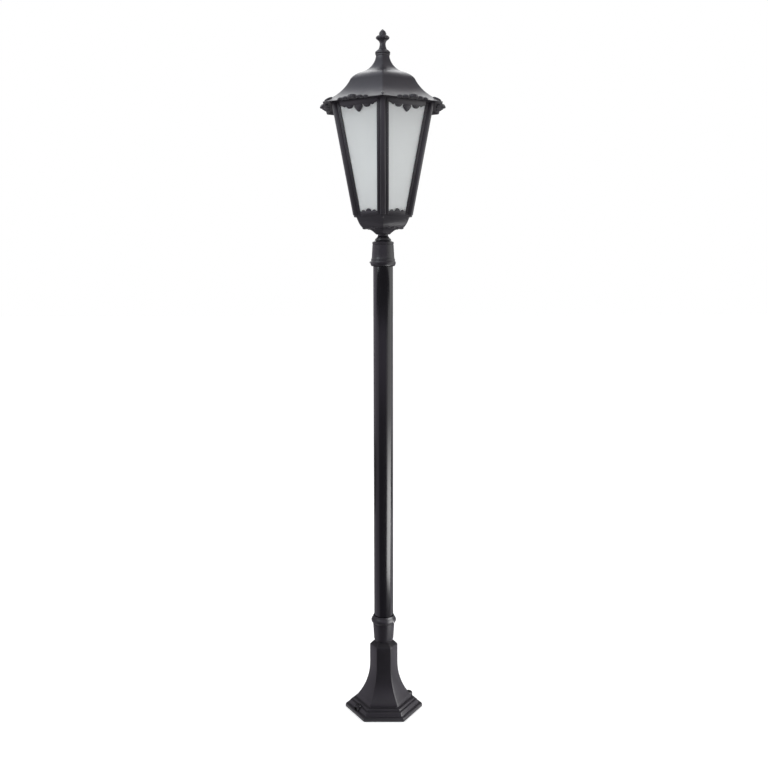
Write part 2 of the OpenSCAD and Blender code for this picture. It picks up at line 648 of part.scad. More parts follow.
// Lobes of an ornament: place along the edge, radius, how far it stands out, height of its top
ornament_lobes = [[0, ornament_r, ornament_out, 9],
    [-23, 11.5, ornament_out * 0.62, 8], [23, 11.5, ornament_out * 0.62, 8],
    [-42, 9, ornament_out * 0.34, 7], [42, 9, ornament_out * 0.34, 7]];
module lobe(r, h) {
    rotate_extrude($fn = 32) polygon([[0, -4], [r - 4, -4], [r - 1.2, -2.5], [r, 0.5], [r - 0.6, 0.45 * h],
        [r - 3, 0.8 * h], [r - 8, h], [0, h]]);
}
module roof() {
    color("#47464b") translate([0, 0, brim_z]) {
        difference() {
            union() {
                intersection() {
                    hex_vault(roof_line);
                    rotate_extrude() polygon(roof_round_line);
                }
                for (i = [0:5], item = ornament_lobes) rotate(60 * i)
                    translate([brim_a + item[2] - item[1], item[0], 0]) lobe(item[1], item[3]);
            }
            hex_vault(roof_inner_line);
            translate([0, 0, roof_h - 20]) cylinder(r = roof_bore_r, h = 30);
        }
        // Ring under the roof that rests on the top frame
        intersection() {
            hex_vault(moved(roof_line, roof_wall / 2));
            translate([0, 0, brim_drop]) hex_ring(seat_a + 5, seat_a, roof_h);
        }
    }
}
module finial() {
    skirt = finial_skirt_a;
    disc = finial_disc_r;
    outline = concat([[0, 12], [skirt - 4, 12]],
        curve([[skirt - 4, 14.5], [skirt - 7, 19.5], [finial_stem_r, 26], [finial_stem_r, 37]], 6),
        curve([[finial_stem_r + 0.7, 41], [finial_stem_r + 3, 46], [disc - 5, 47.5], [disc - 1, 50.5]], 5),
        [[disc, 53], [disc - 0.4, 55.5], [disc - 2.5, 57.8], [finial_bud_r + 0.4, 59.5]],
        curve([[finial_bud_r, 61], [finial_bud_r, finial_h - 9], [finial_bud_r - 6, finial_h - 3],
            [0, finial_h]], 8));
    color("#37363b") translate([0, 0, roof_top_z]) difference() {
        union() {
            rotate_extrude() polygon(outline);
            intersection() {
                hex_vault([[skirt - 1.4, 0], [skirt - 0.2, 3], [skirt, 6], [skirt - 0.8, 11],
                    [skirt - 5, 15.5]]);
                cylinder(r = skirt * 1.09, h = 20);
            }
        }
        translate([0, 0, -1]) cylinder(r = rod_r + fit / 2, h = rod_in + 4);
    }
}

module lamp_bracket() {
    top_z = bracket_h - strap_t;
    color("#b2b2af") translate([0, 0, floor_z]) difference() {
        union() {
            translate([-bracket_x, -strap_w / 2, top_z]) cube([2 * bracket_x, strap_w, strap_t]);
            for (turn = [0, 180]) rotate(turn) translate([bracket_x - strap_t, -strap_w / 2, 0]) {
                cube([strap_t, strap_w, bracket_h]);
                cube([20, strap_w, strap_t]);
            }
        }
        for (side = [-1, 1]) translate([side * bracket_foot_x, 0, -1])
            cylinder(r = screw_r + fit, h = strap_t + 2);
        translate([0, 0, top_z - 1]) cylinder(r = holder_pin_r + fit, h = strap_t + 2);
    }
}
module bracket_screws() {
    color("#bdbdba") for (side = [-1, 1]) translate([side * bracket_foot_x, 0, floor_z + strap_t])
        union() {
            cylinder(r = screw_head_r, h = screw_head_t);
            translate([0, 0, -strap_t - bowl_floor_t + 0.5])
                cylinder(r = screw_r, h = strap_t + bowl_floor_t);
        }
}
// The holder's threaded foot goes through the bracket
holder_pin_r = 5;
holder_z = floor_z + bracket_h;
module lamp_holder() {
    color("#e8e6df") translate([0, 0, holder_z]) difference() {
        union() {
            cylinder(r = holder_r, h = holder_h);
            translate([0, 0, -strap_t - 6]) cylinder(r = holder_pin_r, h = strap_t + 7);
        }
        translate([0, 0, holder_h - bulb_cap_l - 2]) cylinder(r = bulb_cap_r + fit, h = bulb_cap_l + 3);
        translate([0, 0, -strap_t - 7]) cylinder(r = holder_pin_r - 2, h = 12);
    }
}
module bulb() {
    color("#f4f3ee") translate([0, 0, holder_z + holder_h - bulb_cap_l - 2]) rotate_extrude()
        polygon(concat([[0, 0], [bulb_cap_r - 4, 0], [bulb_cap_r, 3], [bulb_cap_r, bulb_cap_l + 3]],
            curve([[bulb_cap_r + 1, bulb_cap_l + 6], [bulb_cap_r + 6, bulb_cap_l + 24],
                [bulb_r, bulb_cap_l + 24], [bulb_r, bulb_cap_l + bulb_l - bulb_r]], 8),
            curve([[bulb_r, bulb_cap_l + bulb_l - bulb_r + 2], [bulb_r, bulb_cap_l + bulb_l - 9],
                [bulb_r - 14, bulb_cap_l + bulb_l], [0, bulb_cap_l + bulb_l]], 8)));
}

base();
lower_lock_nut();
lower_collar();
lower_set_screws();
pole();
upper_collar();
upper_set_screws();
neck_tube();
neck_nuts();
bowl();
rib(0);  // rib_1
rib(1);  // rib_2
rib(2);  // rib_3
rib(3);  // rib_4
rib(4);  // rib_5
rib(5);  // rib_6
pane(0);  // pane_1
pane(1);  // pane_2
pane(2);  // pane_3
pane(3);  // pane_4
pane(4);  // pane_5
pane(5);  // pane_6
rib_screws_lower();
rib_screws_upper();
top_frame();
roof_strap();
strap_screws();
roof_rod();
rod_nuts();
roof();
finial();
lamp_bracket();
bracket_screws();
lamp_holder();
bulb();
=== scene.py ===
import bpy
import bmesh
import math
from mathutils import Matrix, Vector


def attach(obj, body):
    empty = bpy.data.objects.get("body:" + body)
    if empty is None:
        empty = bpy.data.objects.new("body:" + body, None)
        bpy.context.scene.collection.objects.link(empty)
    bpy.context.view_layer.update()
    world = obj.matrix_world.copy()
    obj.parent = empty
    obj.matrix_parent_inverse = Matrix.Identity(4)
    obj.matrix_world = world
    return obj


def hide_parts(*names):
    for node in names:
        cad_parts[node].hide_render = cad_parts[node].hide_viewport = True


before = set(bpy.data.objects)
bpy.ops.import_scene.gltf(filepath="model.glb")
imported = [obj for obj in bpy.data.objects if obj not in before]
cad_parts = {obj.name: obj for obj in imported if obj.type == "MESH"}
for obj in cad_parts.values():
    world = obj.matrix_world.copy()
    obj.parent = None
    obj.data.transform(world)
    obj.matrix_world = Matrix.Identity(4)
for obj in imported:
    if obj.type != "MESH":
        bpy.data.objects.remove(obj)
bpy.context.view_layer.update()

mm = 0.001
cos30 = math.cos(math.radians(30))
tan30 = math.tan(math.radians(30))

# Heights over the ground, in millimetres
levels = {"baseTop": 222, "poleFoot": 258, "poleTop": 1462, "collarFoot": 1407, "collarTop": 1502.5,
          "bowlEdge": 1520, "ledge": 1558, "ribFoot": 1557, "ribTop": 1876, "brim": 1878, "roofTop": 2024}


# Small helpers for modelling

def clearSelection():
    if bpy.context.object and bpy.context.object.mode != "OBJECT":
        bpy.ops.object.mode_set(mode="OBJECT")
    bpy.ops.object.select_all(action="DESELECT")


def enterEdit():
    bpy.ops.object.mode_set(mode="EDIT")
    bpy.ops.mesh.select_all(action="SELECT")


# Turns all faces of the piece outward and ends its edit
def leaveEdit():
    bpy.ops.mesh.select_all(action="SELECT")
    bpy.ops.mesh.normals_make_consistent(inside=False)
    bpy.ops.object.mode_set(mode="OBJECT")


def activate(piece):
    clearSelection()
    piece.select_set(True)
    bpy.context.view_layer.objects.active = piece


# Points on a cubic curve with the four control points p, in n steps, with or without the last one
def curvePoints(p, n, last=True):
    out = []
    for i in range(n + 1 if last else n):
        t = i / n
        w = ((1 - t) ** 3, 3 * (1 - t) ** 2 * t, 3 * (1 - t) * t * t, t ** 3)
        out.append((sum(w[k] * p[k][0] for k in range(4)), sum(w[k] * p[k][1] for k in range(4))))
    return out


# Arc of points about a centre, angles in degrees
def arcPoints(x, y, r, a0, a1, n):
    return [(x + r * math.cos(math.radians(a0 + (a1 - a0) * i / n)),
             y + r * math.sin(math.radians(a0 + (a1 - a0) * i / n))) for i in range(n + 1)]


# One ring of a hexagonal casting: flats at flat distance a, corners rounded by r, first flat turned by turn
def hexRing(a, r, turn, steps=3):
    r = min(r, a * 0.8)
    out = []
    for k in range(6):
        mid = turn + 30 + 60 * k
        cx, cy = [(a - r) / cos30 * f(math.radians(mid)) for f in (math.cos, math.sin)]
        for i in range(steps + 1):
            w = math.radians(mid - 30 + 60 * i / steps)
            out.append((cx + r * math.cos(w), cy + r * math.sin(w)))
    return sorted(out, key=lambda p: math.atan2(p[1], p[0]))


# Stands a flat drawing up: its x goes across, its y up and its z outward
upright = Matrix(((0, 0, 1, 0), (1, 0, 0, 0), (0, 1, 0, 0), (0, 0, 0, 1)))


def turned(degrees):
    return Matrix.Rotation(math.radians(degrees), 4, "Z")


def moved(x, y, z):
    return Matrix.Translation((x * mm, y * mm, z * mm))


def roundRing(r, count):
    return [(r * math.cos(w), r * math.sin(w)) for w in
            (-math.pi + (i + 0.5) * 2 * math.pi / count for i in range(count))]


# Grows a closed body ring by ring: every ring is (points, height), and the first and last are closed by a face
def growBody(name, rings):
    clearSelection()
    bpy.ops.mesh.primitive_circle_add(vertices=len(rings[0][0]), radius=1, fill_type="NGON",
                                      location=(0, 0, rings[0][1] * mm))
    piece = bpy.context.object
    piece.name = piece.data.name = name
    bpy.ops.object.transform_apply(location=True, rotation=False, scale=False)
    enterEdit()
    bpy.ops.mesh.select_mode(type="FACE")
    for k, (points, z) in enumerate(rings):
        if k:
            rise = (z - rings[k - 1][1]) * mm
            bpy.ops.mesh.extrude_region_move(TRANSFORM_OT_translate={"value": (0, 0, rise)})
        mesh = bmesh.from_edit_mesh(piece.data)
        loop = sorted((v for v in mesh.verts if v.select), key=lambda v: math.atan2(v.co.y, v.co.x))
        for v, p in zip(loop, points):
            v.co = Vector((p[0] * mm, p[1] * mm, z * mm))
        bmesh.update_edit_mesh(piece.data)
    leaveEdit()
    return piece


def unitBall():
    clearSelection()
    bpy.ops.mesh.primitive_uv_sphere_add(segments=24, ring_count=12, radius=1, location=(0, 0, 0))
    return bpy.context.object


def applyModifier(piece, kind, **settings):
    activate(piece)
    modifier = piece.modifiers.new(kind.title(), kind)
    for key, value in settings.items():
        setattr(modifier, key, value)
    bpy.ops.object.modifier_apply(modifier=modifier.name)


def softenEdges(piece, width, segments=2, angle=38):
    applyModifier(piece, "BEVEL", width=width * mm, segments=segments, limit_method="ANGLE",
                  angle_limit=math.radians(angle), use_clamp_overlap=True, miter_outer="MITER_ARC")


def smooth(piece, angle=32):
    activate(piece)
    bpy.ops.object.shade_smooth_by_angle(angle=math.radians(angle))


def mergeDoubles(piece, gap=0.002):
    activate(piece)
    enterEdit()
    bpy.ops.mesh.remove_doubles(threshold=gap * mm)
    leaveEdit()


def joinPieces(name, pieces):
    clearSelection()
    for piece in pieces:
        piece.select_set(True)
    bpy.context.view_layer.objects.active = pieces[0]
    bpy.ops.object.join()
    pieces[0].name = pieces[0].data.name = name
    return pieces[0]


def copyTurned(piece, name, degrees):
    other = piece.copy()
    other.data = piece.data.copy()
    other.name = other.data.name = name
    bpy.context.scene.collection.objects.link(other)
    other.data.transform(turned(degrees))
    return other


# A filled outline as a mesh, flat or with a depth and rounded edges
def drawOutline(name, outline, **settings):
    clearSelection()
    drawn = bpy.data.curves.new(name, "CURVE")
    drawn.dimensions = "2D"
    drawn.fill_mode = "BOTH"
    for key, value in settings.items():
        setattr(drawn, key, value)
    line = drawn.splines.new("POLY")
    line.points.add(len(outline) - 1)
    for point, p in zip(line.points, outline):
        point.co = (p[0] * mm, p[1] * mm, 0, 1)
    line.use_cyclic_u = True
    piece = bpy.data.objects.new(name, drawn)
    bpy.context.scene.collection.objects.link(piece)
    activate(piece)
    bpy.ops.object.convert(target="MESH")
    return bpy.context.object


# A flat plate cut to an outline in its own plane, with rounded edges, then set in place by a matrix
def cutPlate(name, outline, thickness, rounding, place):
    piece = drawOutline(name, outline, extrude=(thickness / 2 - rounding) * mm, bevel_depth=rounding * mm,
                        bevel_resolution=1, offset=-rounding * mm)
    piece.data.transform(place @ Matrix.Translation((0, 0, thickness / 2 * mm)))
    mergeDoubles(piece)
    return piece


def cutAway(piece, tool, operation="DIFFERENCE"):
    activate(piece)
    modifier = piece.modifiers.new("Cut", "BOOLEAN")
    modifier.operation = operation
    modifier.solver = "EXACT"
    modifier.object = tool
    bpy.ops.object.modifier_apply(modifier=modifier.name)
    bpy.data.objects.remove(tool)


def dress(piece, material, slot, *nodes):
    piece.data.materials.clear()
    piece.data.materials.append(material)
    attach(piece, "root")
    if nodes:
        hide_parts(*nodes)


# Camera, floor and light

view = {"lens": 42.19, "sensor": 36, "place": (0.0022, -2.764, 1.3705), "down": 6.7, "lean": -0.1}
camera = bpy.data.objects.new("camera", bpy.data.cameras.new("camera"))
camera.data.lens = view["lens"]
camera.data.sensor_width = view["sensor"]
camera.data.sensor_fit = "HORIZONTAL"
camera.location = view["place"]
camera.rotation_euler = (Matrix.Rotation(math.radians(90 - view["down"]), 3, "X")
                         @ Matrix.Rotation(math.radians(view["lean"]), 3, "Z")).to_euler()
bpy.context.scene.collection.objects.link(camera)
bpy.context.scene.camera = camera
bpy.context.scene.view_settings.view_transform = "Standard"
print("camera done")


def newMaterial(name):
    material = bpy.data.materials.new(name)
    material.use_nodes = True
    nodes, links = material.node_tree.nodes, material.node_tree.links
    return material, nodes, links, nodes["Principled BSDF"]


# One for a ray from the camera, a reflection or the glass, and nothing for the rays that light the post
def seenDirectly(nodes, links):
    path = nodes.new("ShaderNodeLightPath")
    first = nodes.new("ShaderNodeMath")
    first.operation = "MAXIMUM"
    second = nodes.new("ShaderNodeMath")
    second.operation = "MAXIMUM"
    links.new(path.outputs["Is Camera Ray"], first.inputs[0])
    links.new(path.outputs["Is Glossy Ray"], first.inputs[1])
    links.new(first.outputs[0], second.inputs[0])
    links.new(path.outputs["Is Transmission Ray"], second.inputs[1])
    return second.outputs[0]


studio = {"floorSize": 60, "floorGlow": 0.36, "worldLight": 0.72,
          "back": {"size": (2.6, 1.6), "place": (-0.2, 2.1, 3.3), "aim": (0, 0, 1.9), "power": 27,
                   "tint": (0.98, 0.99, 1.0)},
          "left": {"size": (0.9, 1.6), "place": (-1.9, -1.2, 2.9), "aim": (0, 0, 1.8), "power": 13,
                   "tint": (0.86, 0.95, 1.0)},
          "right": {"size": (0.9, 1.6), "place": (2.4, -0.6, 1.2), "aim": (0, 0, 1.0), "power": 6,
                    "tint": (1.0, 0.98, 0.99)}}


def makeFloor():
    clearSelection()
    bpy.ops.mesh.primitive_plane_add(size=studio["floorSize"], location=(0, 0, 0))
    floor = bpy.context.object
    floor.name = "floor"
    material, nodes, links, shader = newMaterial("pale floor")
    shader.inputs["Base Color"].default_value = (0.93, 0.93, 0.93, 1)
    shader.inputs["Roughness"].default_value = 0.9
    shader.inputs["Emission Color"].default_value = (1, 1, 1, 1)
    scale = nodes.new("ShaderNodeMath")
    scale.operation = "MULTIPLY"
    scale.inputs[1].default_value = studio["floorGlow"]
    links.new(seenDirectly(nodes, links), scale.inputs[0])
    links.new(scale.outputs[0], shader.inputs["Emission Strength"])
    floor.data.materials.append(material)


def makeWorld():
    world = bpy.data.worlds.new("studio")
    world.use_nodes = True
    bpy.context.scene.world = world
    nodes, links = world.node_tree.nodes, world.node_tree.links
    background = nodes["Background"]
    background.inputs["Color"].default_value = (1, 1, 1, 1)
    mix = nodes.new("ShaderNodeMapRange")
    mix.inputs["To Min"].default_value = studio["worldLight"]
    mix.inputs["To Max"].default_value = 1.0
    links.new(seenDirectly(nodes, links), mix.inputs["Value"])
    links.new(mix.outputs["Result"], background.inputs["Strength"])


def makeLamp(name):
    facts = studio[name]
    lamp = bpy.data.lights.new(name + " softbox", "AREA")
    lamp.shape = "RECTANGLE"
    lamp.size, lamp.size_y = facts["size"]
    lamp.energy = facts["power"]
    lamp.color = facts["tint"]
    holder = bpy.data.objects.new(name + " softbox", lamp)
    holder.location = facts["place"]
    aim = Vector(facts["aim"]) - Vector(facts["place"])
    holder.rotation_euler = aim.to_track_quat("-Z", "Y").to_euler()
    bpy.context.scene.collection.objects.link(holder)


# Cards round the post that only reflections see. Turns are degrees to the right of the camera's side,
# leanTurns those at the top of a card that leans, and floorFrom is where its floor part starts, in metres
cards = {"front screen": {"reach": 3.3, "tall": 3.0, "turns": (-55, 37), "leanTurns": (-55, 45),
                          "floorFrom": 0.16, "tint": (1, 0.9, 1.12),
                          "glow": ((0, 0.14), (0.25, 0.22), (0.36, 0.48), (0.6, 0.6), (1, 0.85))},
         "left screen": {"reach": 3.0, "tall": 2.2, "turns": (-136, -55), "floorFrom": 0.16,
                         "tint": (1, 0.93, 1.07), "glow": ((0, 0.6), (0.05, 0.6), (0.5, 0.95), (1, 0.9))},
         "left back screen": {"reach": 3.1, "tall": 1.9, "turns": (-179, -136), "floorFrom": 0.16,
                              "glow": ((0, 0.1), (1, 0.2))},
         "right side screen": {"reach": 3.0, "tall": 1.6, "turns": (98, 136), "floorFrom": 0.16,
                               "glow": ((0, 0.8), (0.1, 1.1), (1, 0.7))},
         "right back screen": {"reach": 3.1, "tall": 1.9, "turns": (136, 179), "floorFrom": 0.16,
                               "glow": ((0, 0.1), (1, 0.2))},
         "right floor": {"reach": 3.0, "tall": 0.03, "turns": (37, 98), "floorFrom": 0.3,
                         "glow": ((0, 0.3), (1, 0.3))},
         "bright panel": {"reach": 0.6, "tall": 1.75, "turns": (39, 88), "leanTurns": (64, 120),
                          "floorFrom": 0, "tint": (1, 1, 1),
                          "glow": ((0, 0.8), (0.02, 1.2), (0.04, 8.5), (0.3, 8.5), (0.5, 2), (1, 1.6))}}
# Level cards, with their reach across and along the camera's axis
ceilings = {"left ceiling": {"across": (-3.2, 0), "along": (-3, 1.5), "height": 3.7,
                             "tint": (0.95, 0.97, 1.08), "glow": ((0, 0.85), (1, 0.85))},
            "right ceiling": {"across": (0, 3.2), "along": (-3, 1.5), "height": 3.7,
                              "tint": (1, 0.96, 1.04), "glow": ((0, 0.5), (1, 0.5))},
            "shade behind the base": {"across": (-1.4, 1.4), "along": (0.05, 1.7), "height": 0.6,
                                      "glow": ((0, 0.2), (1, 0.2))},
            "shade under the bowl": {"across": (-0.9, 0.9), "along": (-0.9, -0.07), "height": 1.427,
                                     "glow": ((0, 0.12), (1, 0.12))}}
cardTint = (1, 0.95, 1.05)
# Share of a card's rows that lies on the floor, and how far over it in metres
floorRows, floorLift = 0.2, 0.004


def makeCard(name):
    facts = cards[name]
    (footFrom, footTo), (topFrom, topTo) = facts["turns"], facts.get("leanTurns", facts["turns"])
    clearSelection()
    bpy.ops.mesh.primitive_grid_add(x_subdivisions=24, y_subdivisions=12, size=1, location=(0, 0, 0))
    card = bpy.context.object
    card.name = name
    for v in card.data.vertices:
        across, up = v.co.x + 0.5, v.co.y + 0.5
        low = footFrom + across * (footTo - footFrom)
        high = topFrom + across * (topTo - topFrom)
        reach, rise = facts["reach"], facts["tall"] * up
        if facts["floorFrom"] > 0:
            rise = facts["tall"] * (up - floorRows) / (1 - floorRows)
            # The lowest rows lie on the floor and run in towards the post
            if up < floorRows:
                rise = floorLift
                reach = facts["floorFrom"] + (facts["reach"] - facts["floorFrom"]) * up / floorRows
        turn = math.radians(low + (high - low) * max(0, rise) / facts["tall"])
        v.co = (reach * math.sin(turn), -reach * math.cos(turn), max(floorLift, rise))
    lightCard(card, facts)


def makeCeiling(name):
    facts = ceilings[name]
    (x0, x1), (y0, y1) = facts["across"], facts["along"]
    clearSelection()
    bpy.ops.mesh.primitive_plane_add(size=1, location=(0, 0, 0))
    card = bpy.context.object
    card.name = name
    for v in card.data.vertices:
        v.co = (x0 + (v.co.x + 0.5) * (x1 - x0), y0 + (v.co.y + 0.5) * (y1 - y0), facts["height"])
    lightCard(card, facts)


# Glow that changes with the height, as a share of the card's own, and that only reflections see
def lightCard(card, facts):
    material = bpy.data.materials.new(card.name)
    material.use_nodes = True
    nodes, links = material.node_tree.nodes, material.node_tree.links
    nodes.clear()
    place = nodes.new("ShaderNodeTexCoord")
    split = nodes.new("ShaderNodeSeparateXYZ")
    links.new(place.outputs["Object"], split.inputs[0])
    span = nodes.new("ShaderNodeMapRange")
    span.inputs["From Max"].default_value = facts.get("tall", 1)
    links.new(split.outputs["Z"], span.inputs["Value"])
    ramp = nodes.new("ShaderNodeFloatCurve")
    line = ramp.mapping.curves[0]
    brightest = max(glow for height, glow in facts["glow"])
    stops = facts["glow"]
    line.points[0].location = (stops[0][0], stops[0][1] / brightest)
    line.points[-1].location = (stops[-1][0], stops[-1][1] / brightest)
    for height, glow in stops[1:-1]:
        line.points.new(height, glow / brightest)
    for point in line.points:
        point.handle_type = "VECTOR"
    ramp.mapping.update()
    links.new(span.outputs["Result"], ramp.inputs["Value"])
    scale = nodes.new("ShaderNodeMath")
    scale.operation = "MULTIPLY"
    scale.inputs[1].default_value = brightest
    links.new(ramp.outputs["Value"], scale.inputs[0])
    glow = nodes.new("ShaderNodeEmission")
    glow.inputs["Color"].default_value = facts.get("tint", cardTint) + (1,)
    links.new(scale.outputs[0], glow.inputs["Strength"])
    out = nodes.new("ShaderNodeOutputMaterial")
    links.new(glow.outputs[0], out.inputs["Surface"])
    card.data.materials.append(material)
    card.visible_camera = False
    card.visible_shadow = False
    card.visible_diffuse = False
    card.visible_transmission = False


makeFloor()
makeWorld()
for lampName in ("back", "left", "right"):
    makeLamp(lampName)
for cardName in cards:
    makeCard(cardName)
for ceilingName in ceilings:
    makeCeiling(ceilingName)
print("studio done")


# Materials

# What all coats share: blotches, the faces that hold dust, shares in the roughness, and depths in metres
coatMix = {"blotchScale": 14, "dustFrom": 0.35, "dustLeast": 0.35, "wavesInRoughness": 0.35,
           "dustInRoughness": 0.35, "waveDepth": 0.0012, "grainDepth": 0.0002}


# Powder coat on a casting: fine grain, soft waves of the metal under it, dust on what faces up
def makeCoatGroup():
    group = bpy.data.node_groups.new("powder coat", "ShaderNodeTree")
    face = group.interface
    for name, kind, value in (("Coat", "NodeSocketColor", (0.02, 0.02, 0.022, 1)),
                              ("Dust", "NodeSocketColor", (0.2, 0.19, 0.18, 1)),
                              ("Grain Scale", "NodeSocketFloat", 900), ("Wave Scale", "NodeSocketFloat", 60),
                              ("Dust Amount", "NodeSocketFloat", 0.1), ("Roughness", "NodeSocketFloat", 0.42),
                              ("Grain", "NodeSocketFloat", 0.2), ("Waves", "NodeSocketFloat", 0.3),
                              ("Mottle", "NodeSocketFloat", 0.3)):
        face.new_socket(name, in_out="INPUT", socket_type=kind).default_value = value
    face.new_socket("Color", in_out="OUTPUT", socket_type="NodeSocketColor")
    face.new_socket("Roughness", in_out="OUTPUT", socket_type="NodeSocketFloat")
    face.new_socket("Normal", in_out="OUTPUT", socket_type="NodeSocketVector")
    nodes, links = group.nodes, group.links
    given, made = nodes.new("NodeGroupInput"), nodes.new("NodeGroupOutput")
    place = nodes.new("ShaderNodeTexCoord")

    def noise(scale, detail, rough):
        n = nodes.new("ShaderNodeTexNoise")
        n.inputs["Detail"].default_value = detail
        n.inputs["Roughness"].default_value = rough
        links.new(place.outputs["Object"], n.inputs["Vector"])
        if isinstance(scale, (int, float)):
            n.inputs["Scale"].default_value = scale
        else:
            links.new(scale, n.inputs["Scale"])
        return n.outputs["Fac"]

    def math2(operation, a, b):
        n = nodes.new("ShaderNodeMath")
        n.operation = operation
        for socket, value in ((n.inputs[0], a), (n.inputs[1], b)):
            if isinstance(value, (int, float)):
                socket.default_value = value
            else:
                links.new(value, socket)
        return n.outputs[0]

    grain = noise(given.outputs["Grain Scale"], 2, 0.6)
    waves = noise(given.outputs["Wave Scale"], 3, 0.5)
    blotch = noise(coatMix["blotchScale"], 4, 0.6)
    normal = nodes.new("ShaderNodeNewGeometry")
    split = nodes.new("ShaderNodeSeparateXYZ")
    links.new(normal.outputs["Normal"], split.inputs[0])
    up = nodes.new("ShaderNodeMapRange")
    up.inputs["From Min"].default_value = coatMix["dustFrom"]
    up.inputs["From Max"].default_value = 1.0
    links.new(split.outputs["Z"], up.inputs["Value"])
    dust = math2("MULTIPLY", math2("MULTIPLY", up.outputs["Result"], given.outputs["Dust Amount"]),
                 math2("ADD", blotch, coatMix["dustLeast"]))
    tint = nodes.new("ShaderNodeMix")
    tint.data_type = "RGBA"
    links.new(dust, tint.inputs["Factor"])
    links.new(given.outputs["Coat"], tint.inputs["A"])
    links.new(given.outputs["Dust"], tint.inputs["B"])
    shade = nodes.new("ShaderNodeHueSaturation")
    links.new(math2("ADD", math2("MULTIPLY", math2("SUBTRACT", blotch, 0.5), given.outputs["Mottle"]), 1.0),
              shade.inputs["Value"])
    links.new(tint.outputs["Result"], shade.inputs["Color"])
    links.new(shade.outputs["Color"], made.inputs["Color"])
    swing = math2("MULTIPLY", math2("SUBTRACT", waves, 0.5), coatMix["wavesInRoughness"])
    unevenness = math2("MULTIPLY", swing, given.outputs["Mottle"])
    rough = math2("ADD", given.outputs["Roughness"], unevenness)
    dusty = math2("MULTIPLY", dust, coatMix["dustInRoughness"])
    links.new(math2("ADD", rough, dusty), made.inputs["Roughness"])
    soft = nodes.new("ShaderNodeBump")
    soft.inputs["Distance"].default_value = coatMix["waveDepth"]
    links.new(given.outputs["Waves"], soft.inputs["Strength"])
    links.new(waves, soft.inputs["Height"])
    fine = nodes.new("ShaderNodeBump")
    fine.inputs["Distance"].default_value = coatMix["grainDepth"]
    links.new(given.outputs["Grain"], fine.inputs["Strength"])
    links.new(grain, fine.inputs["Height"])
    links.new(soft.outputs["Normal"], fine.inputs["Normal"])
    links.new(fine.outputs["Normal"], made.inputs["Normal"])
    return group


coatGroup = makeCoatGroup()


def coatMaterial(name, facts):
    material, nodes, links, shader = newMaterial(name)
    coat = nodes.new("ShaderNodeGroup")
    coat.node_tree = coatGroup
    coat.inputs["Coat"].default_value = facts["color"] + (1,)
    coat.inputs["Dust"].default_value = facts["dust"] + (1,)
    for socket, fact in (("Dust Amount", "dustAmount"), ("Roughness", "roughness"), ("Grain", "grain"),
                         ("Waves", "waves"), ("Grain Scale", "grainScale"), ("Wave Scale", "waveScale"),
                         ("Mottle", "mottle")):
        coat.inputs[socket].default_value = facts[fact]
    links.new(coat.outputs["Color"], shader.inputs["Base Color"])
    links.new(coat.outputs["Roughness"], shader.inputs["Roughness"])
    links.new(coat.outputs["Normal"], shader.inputs["Normal"])
    shader.inputs["IOR"].default_value = 1.5
    shader.inputs["Specular IOR Level"].default_value = facts["gloss"]
    return material


# One black powder coat in four copies whose colours are set part by part to how light each part looks under
# this light: the lantern's is lighter and the pole's darker, partly real colour and partly painted light and
# shade
lanternCoat = coatMaterial("lantern powder coat", {
    "color": (0.0255, 0.0235, 0.0285), "dust": (0.2, 0.19, 0.21), "dustAmount": 0.02, "roughness": 0.36,
    "mottle": 0.5, "grain": 0.2, "waves": 0.12, "grainScale": 950, "waveScale": 46, "gloss": 0.5})
baseCoat = coatMaterial("base powder coat", {
    "color": (0.0106, 0.0094, 0.0122), "dust": (0.2, 0.19, 0.2), "dustAmount": 0.02, "roughness": 0.34,
    "mottle": 0.5, "grain": 0.2, "waves": 0.14, "grainScale": 850, "waveScale": 40, "gloss": 0.4})
collarCoat = coatMaterial("collar powder coat", {
    "color": (0.0112, 0.01, 0.0132), "dust": (0.2, 0.19, 0.2), "dustAmount": 0.02, "roughness": 0.34,
    "mottle": 0.4, "grain": 0.2, "waves": 0.1, "grainScale": 950, "waveScale": 60, "gloss": 0.5})
poleCoat = coatMaterial("pole powder coat", {
    "color": (0.0048, 0.0044, 0.0062), "dust": (0.15, 0.15, 0.15), "dustAmount": 0.0, "roughness": 0.22,
    "mottle": 0.15, "grain": 0.07, "waves": 0.02, "grainScale": 800, "waveScale": 55, "gloss": 0.5})


# Noise in the piece's own place, stretched along the axis
def ownNoise(nodes, links, scale, stretch=1):
    place = nodes.new("ShaderNodeTexCoord")
    stretched = nodes.new("ShaderNodeMapping")
    stretched.inputs["Scale"].default_value = (1, 1, stretch)
    links.new(place.outputs["Object"], stretched.inputs["Vector"])
    noise = nodes.new("ShaderNodeTexNoise")
    noise.inputs["Scale"].default_value = scale
    links.new(stretched.outputs["Vector"], noise.inputs["Vector"])
    return noise.outputs["Fac"]


# Color that is darker by the given share where the noise is low
def cloudedColor(nodes, links, shader, noise, color, share):
    ramp = nodes.new("ShaderNodeValToRGB")
    ramp.color_ramp.elements[0].color = tuple(share * c for c in color) + (1,)
    ramp.color_ramp.elements[1].color = color + (1,)
    links.new(noise, ramp.inputs["Fac"])
    links.new(ramp.outputs["Color"], shader.inputs["Base Color"])


def roughenSurface(nodes, links, shader, noise, strength, depth):
    bump = nodes.new("ShaderNodeBump")
    bump.inputs["Strength"].default_value = strength
    bump.inputs["Distance"].default_value = depth
    links.new(noise, bump.inputs["Height"])
    links.new(bump.outputs["Normal"], shader.inputs["Normal"])


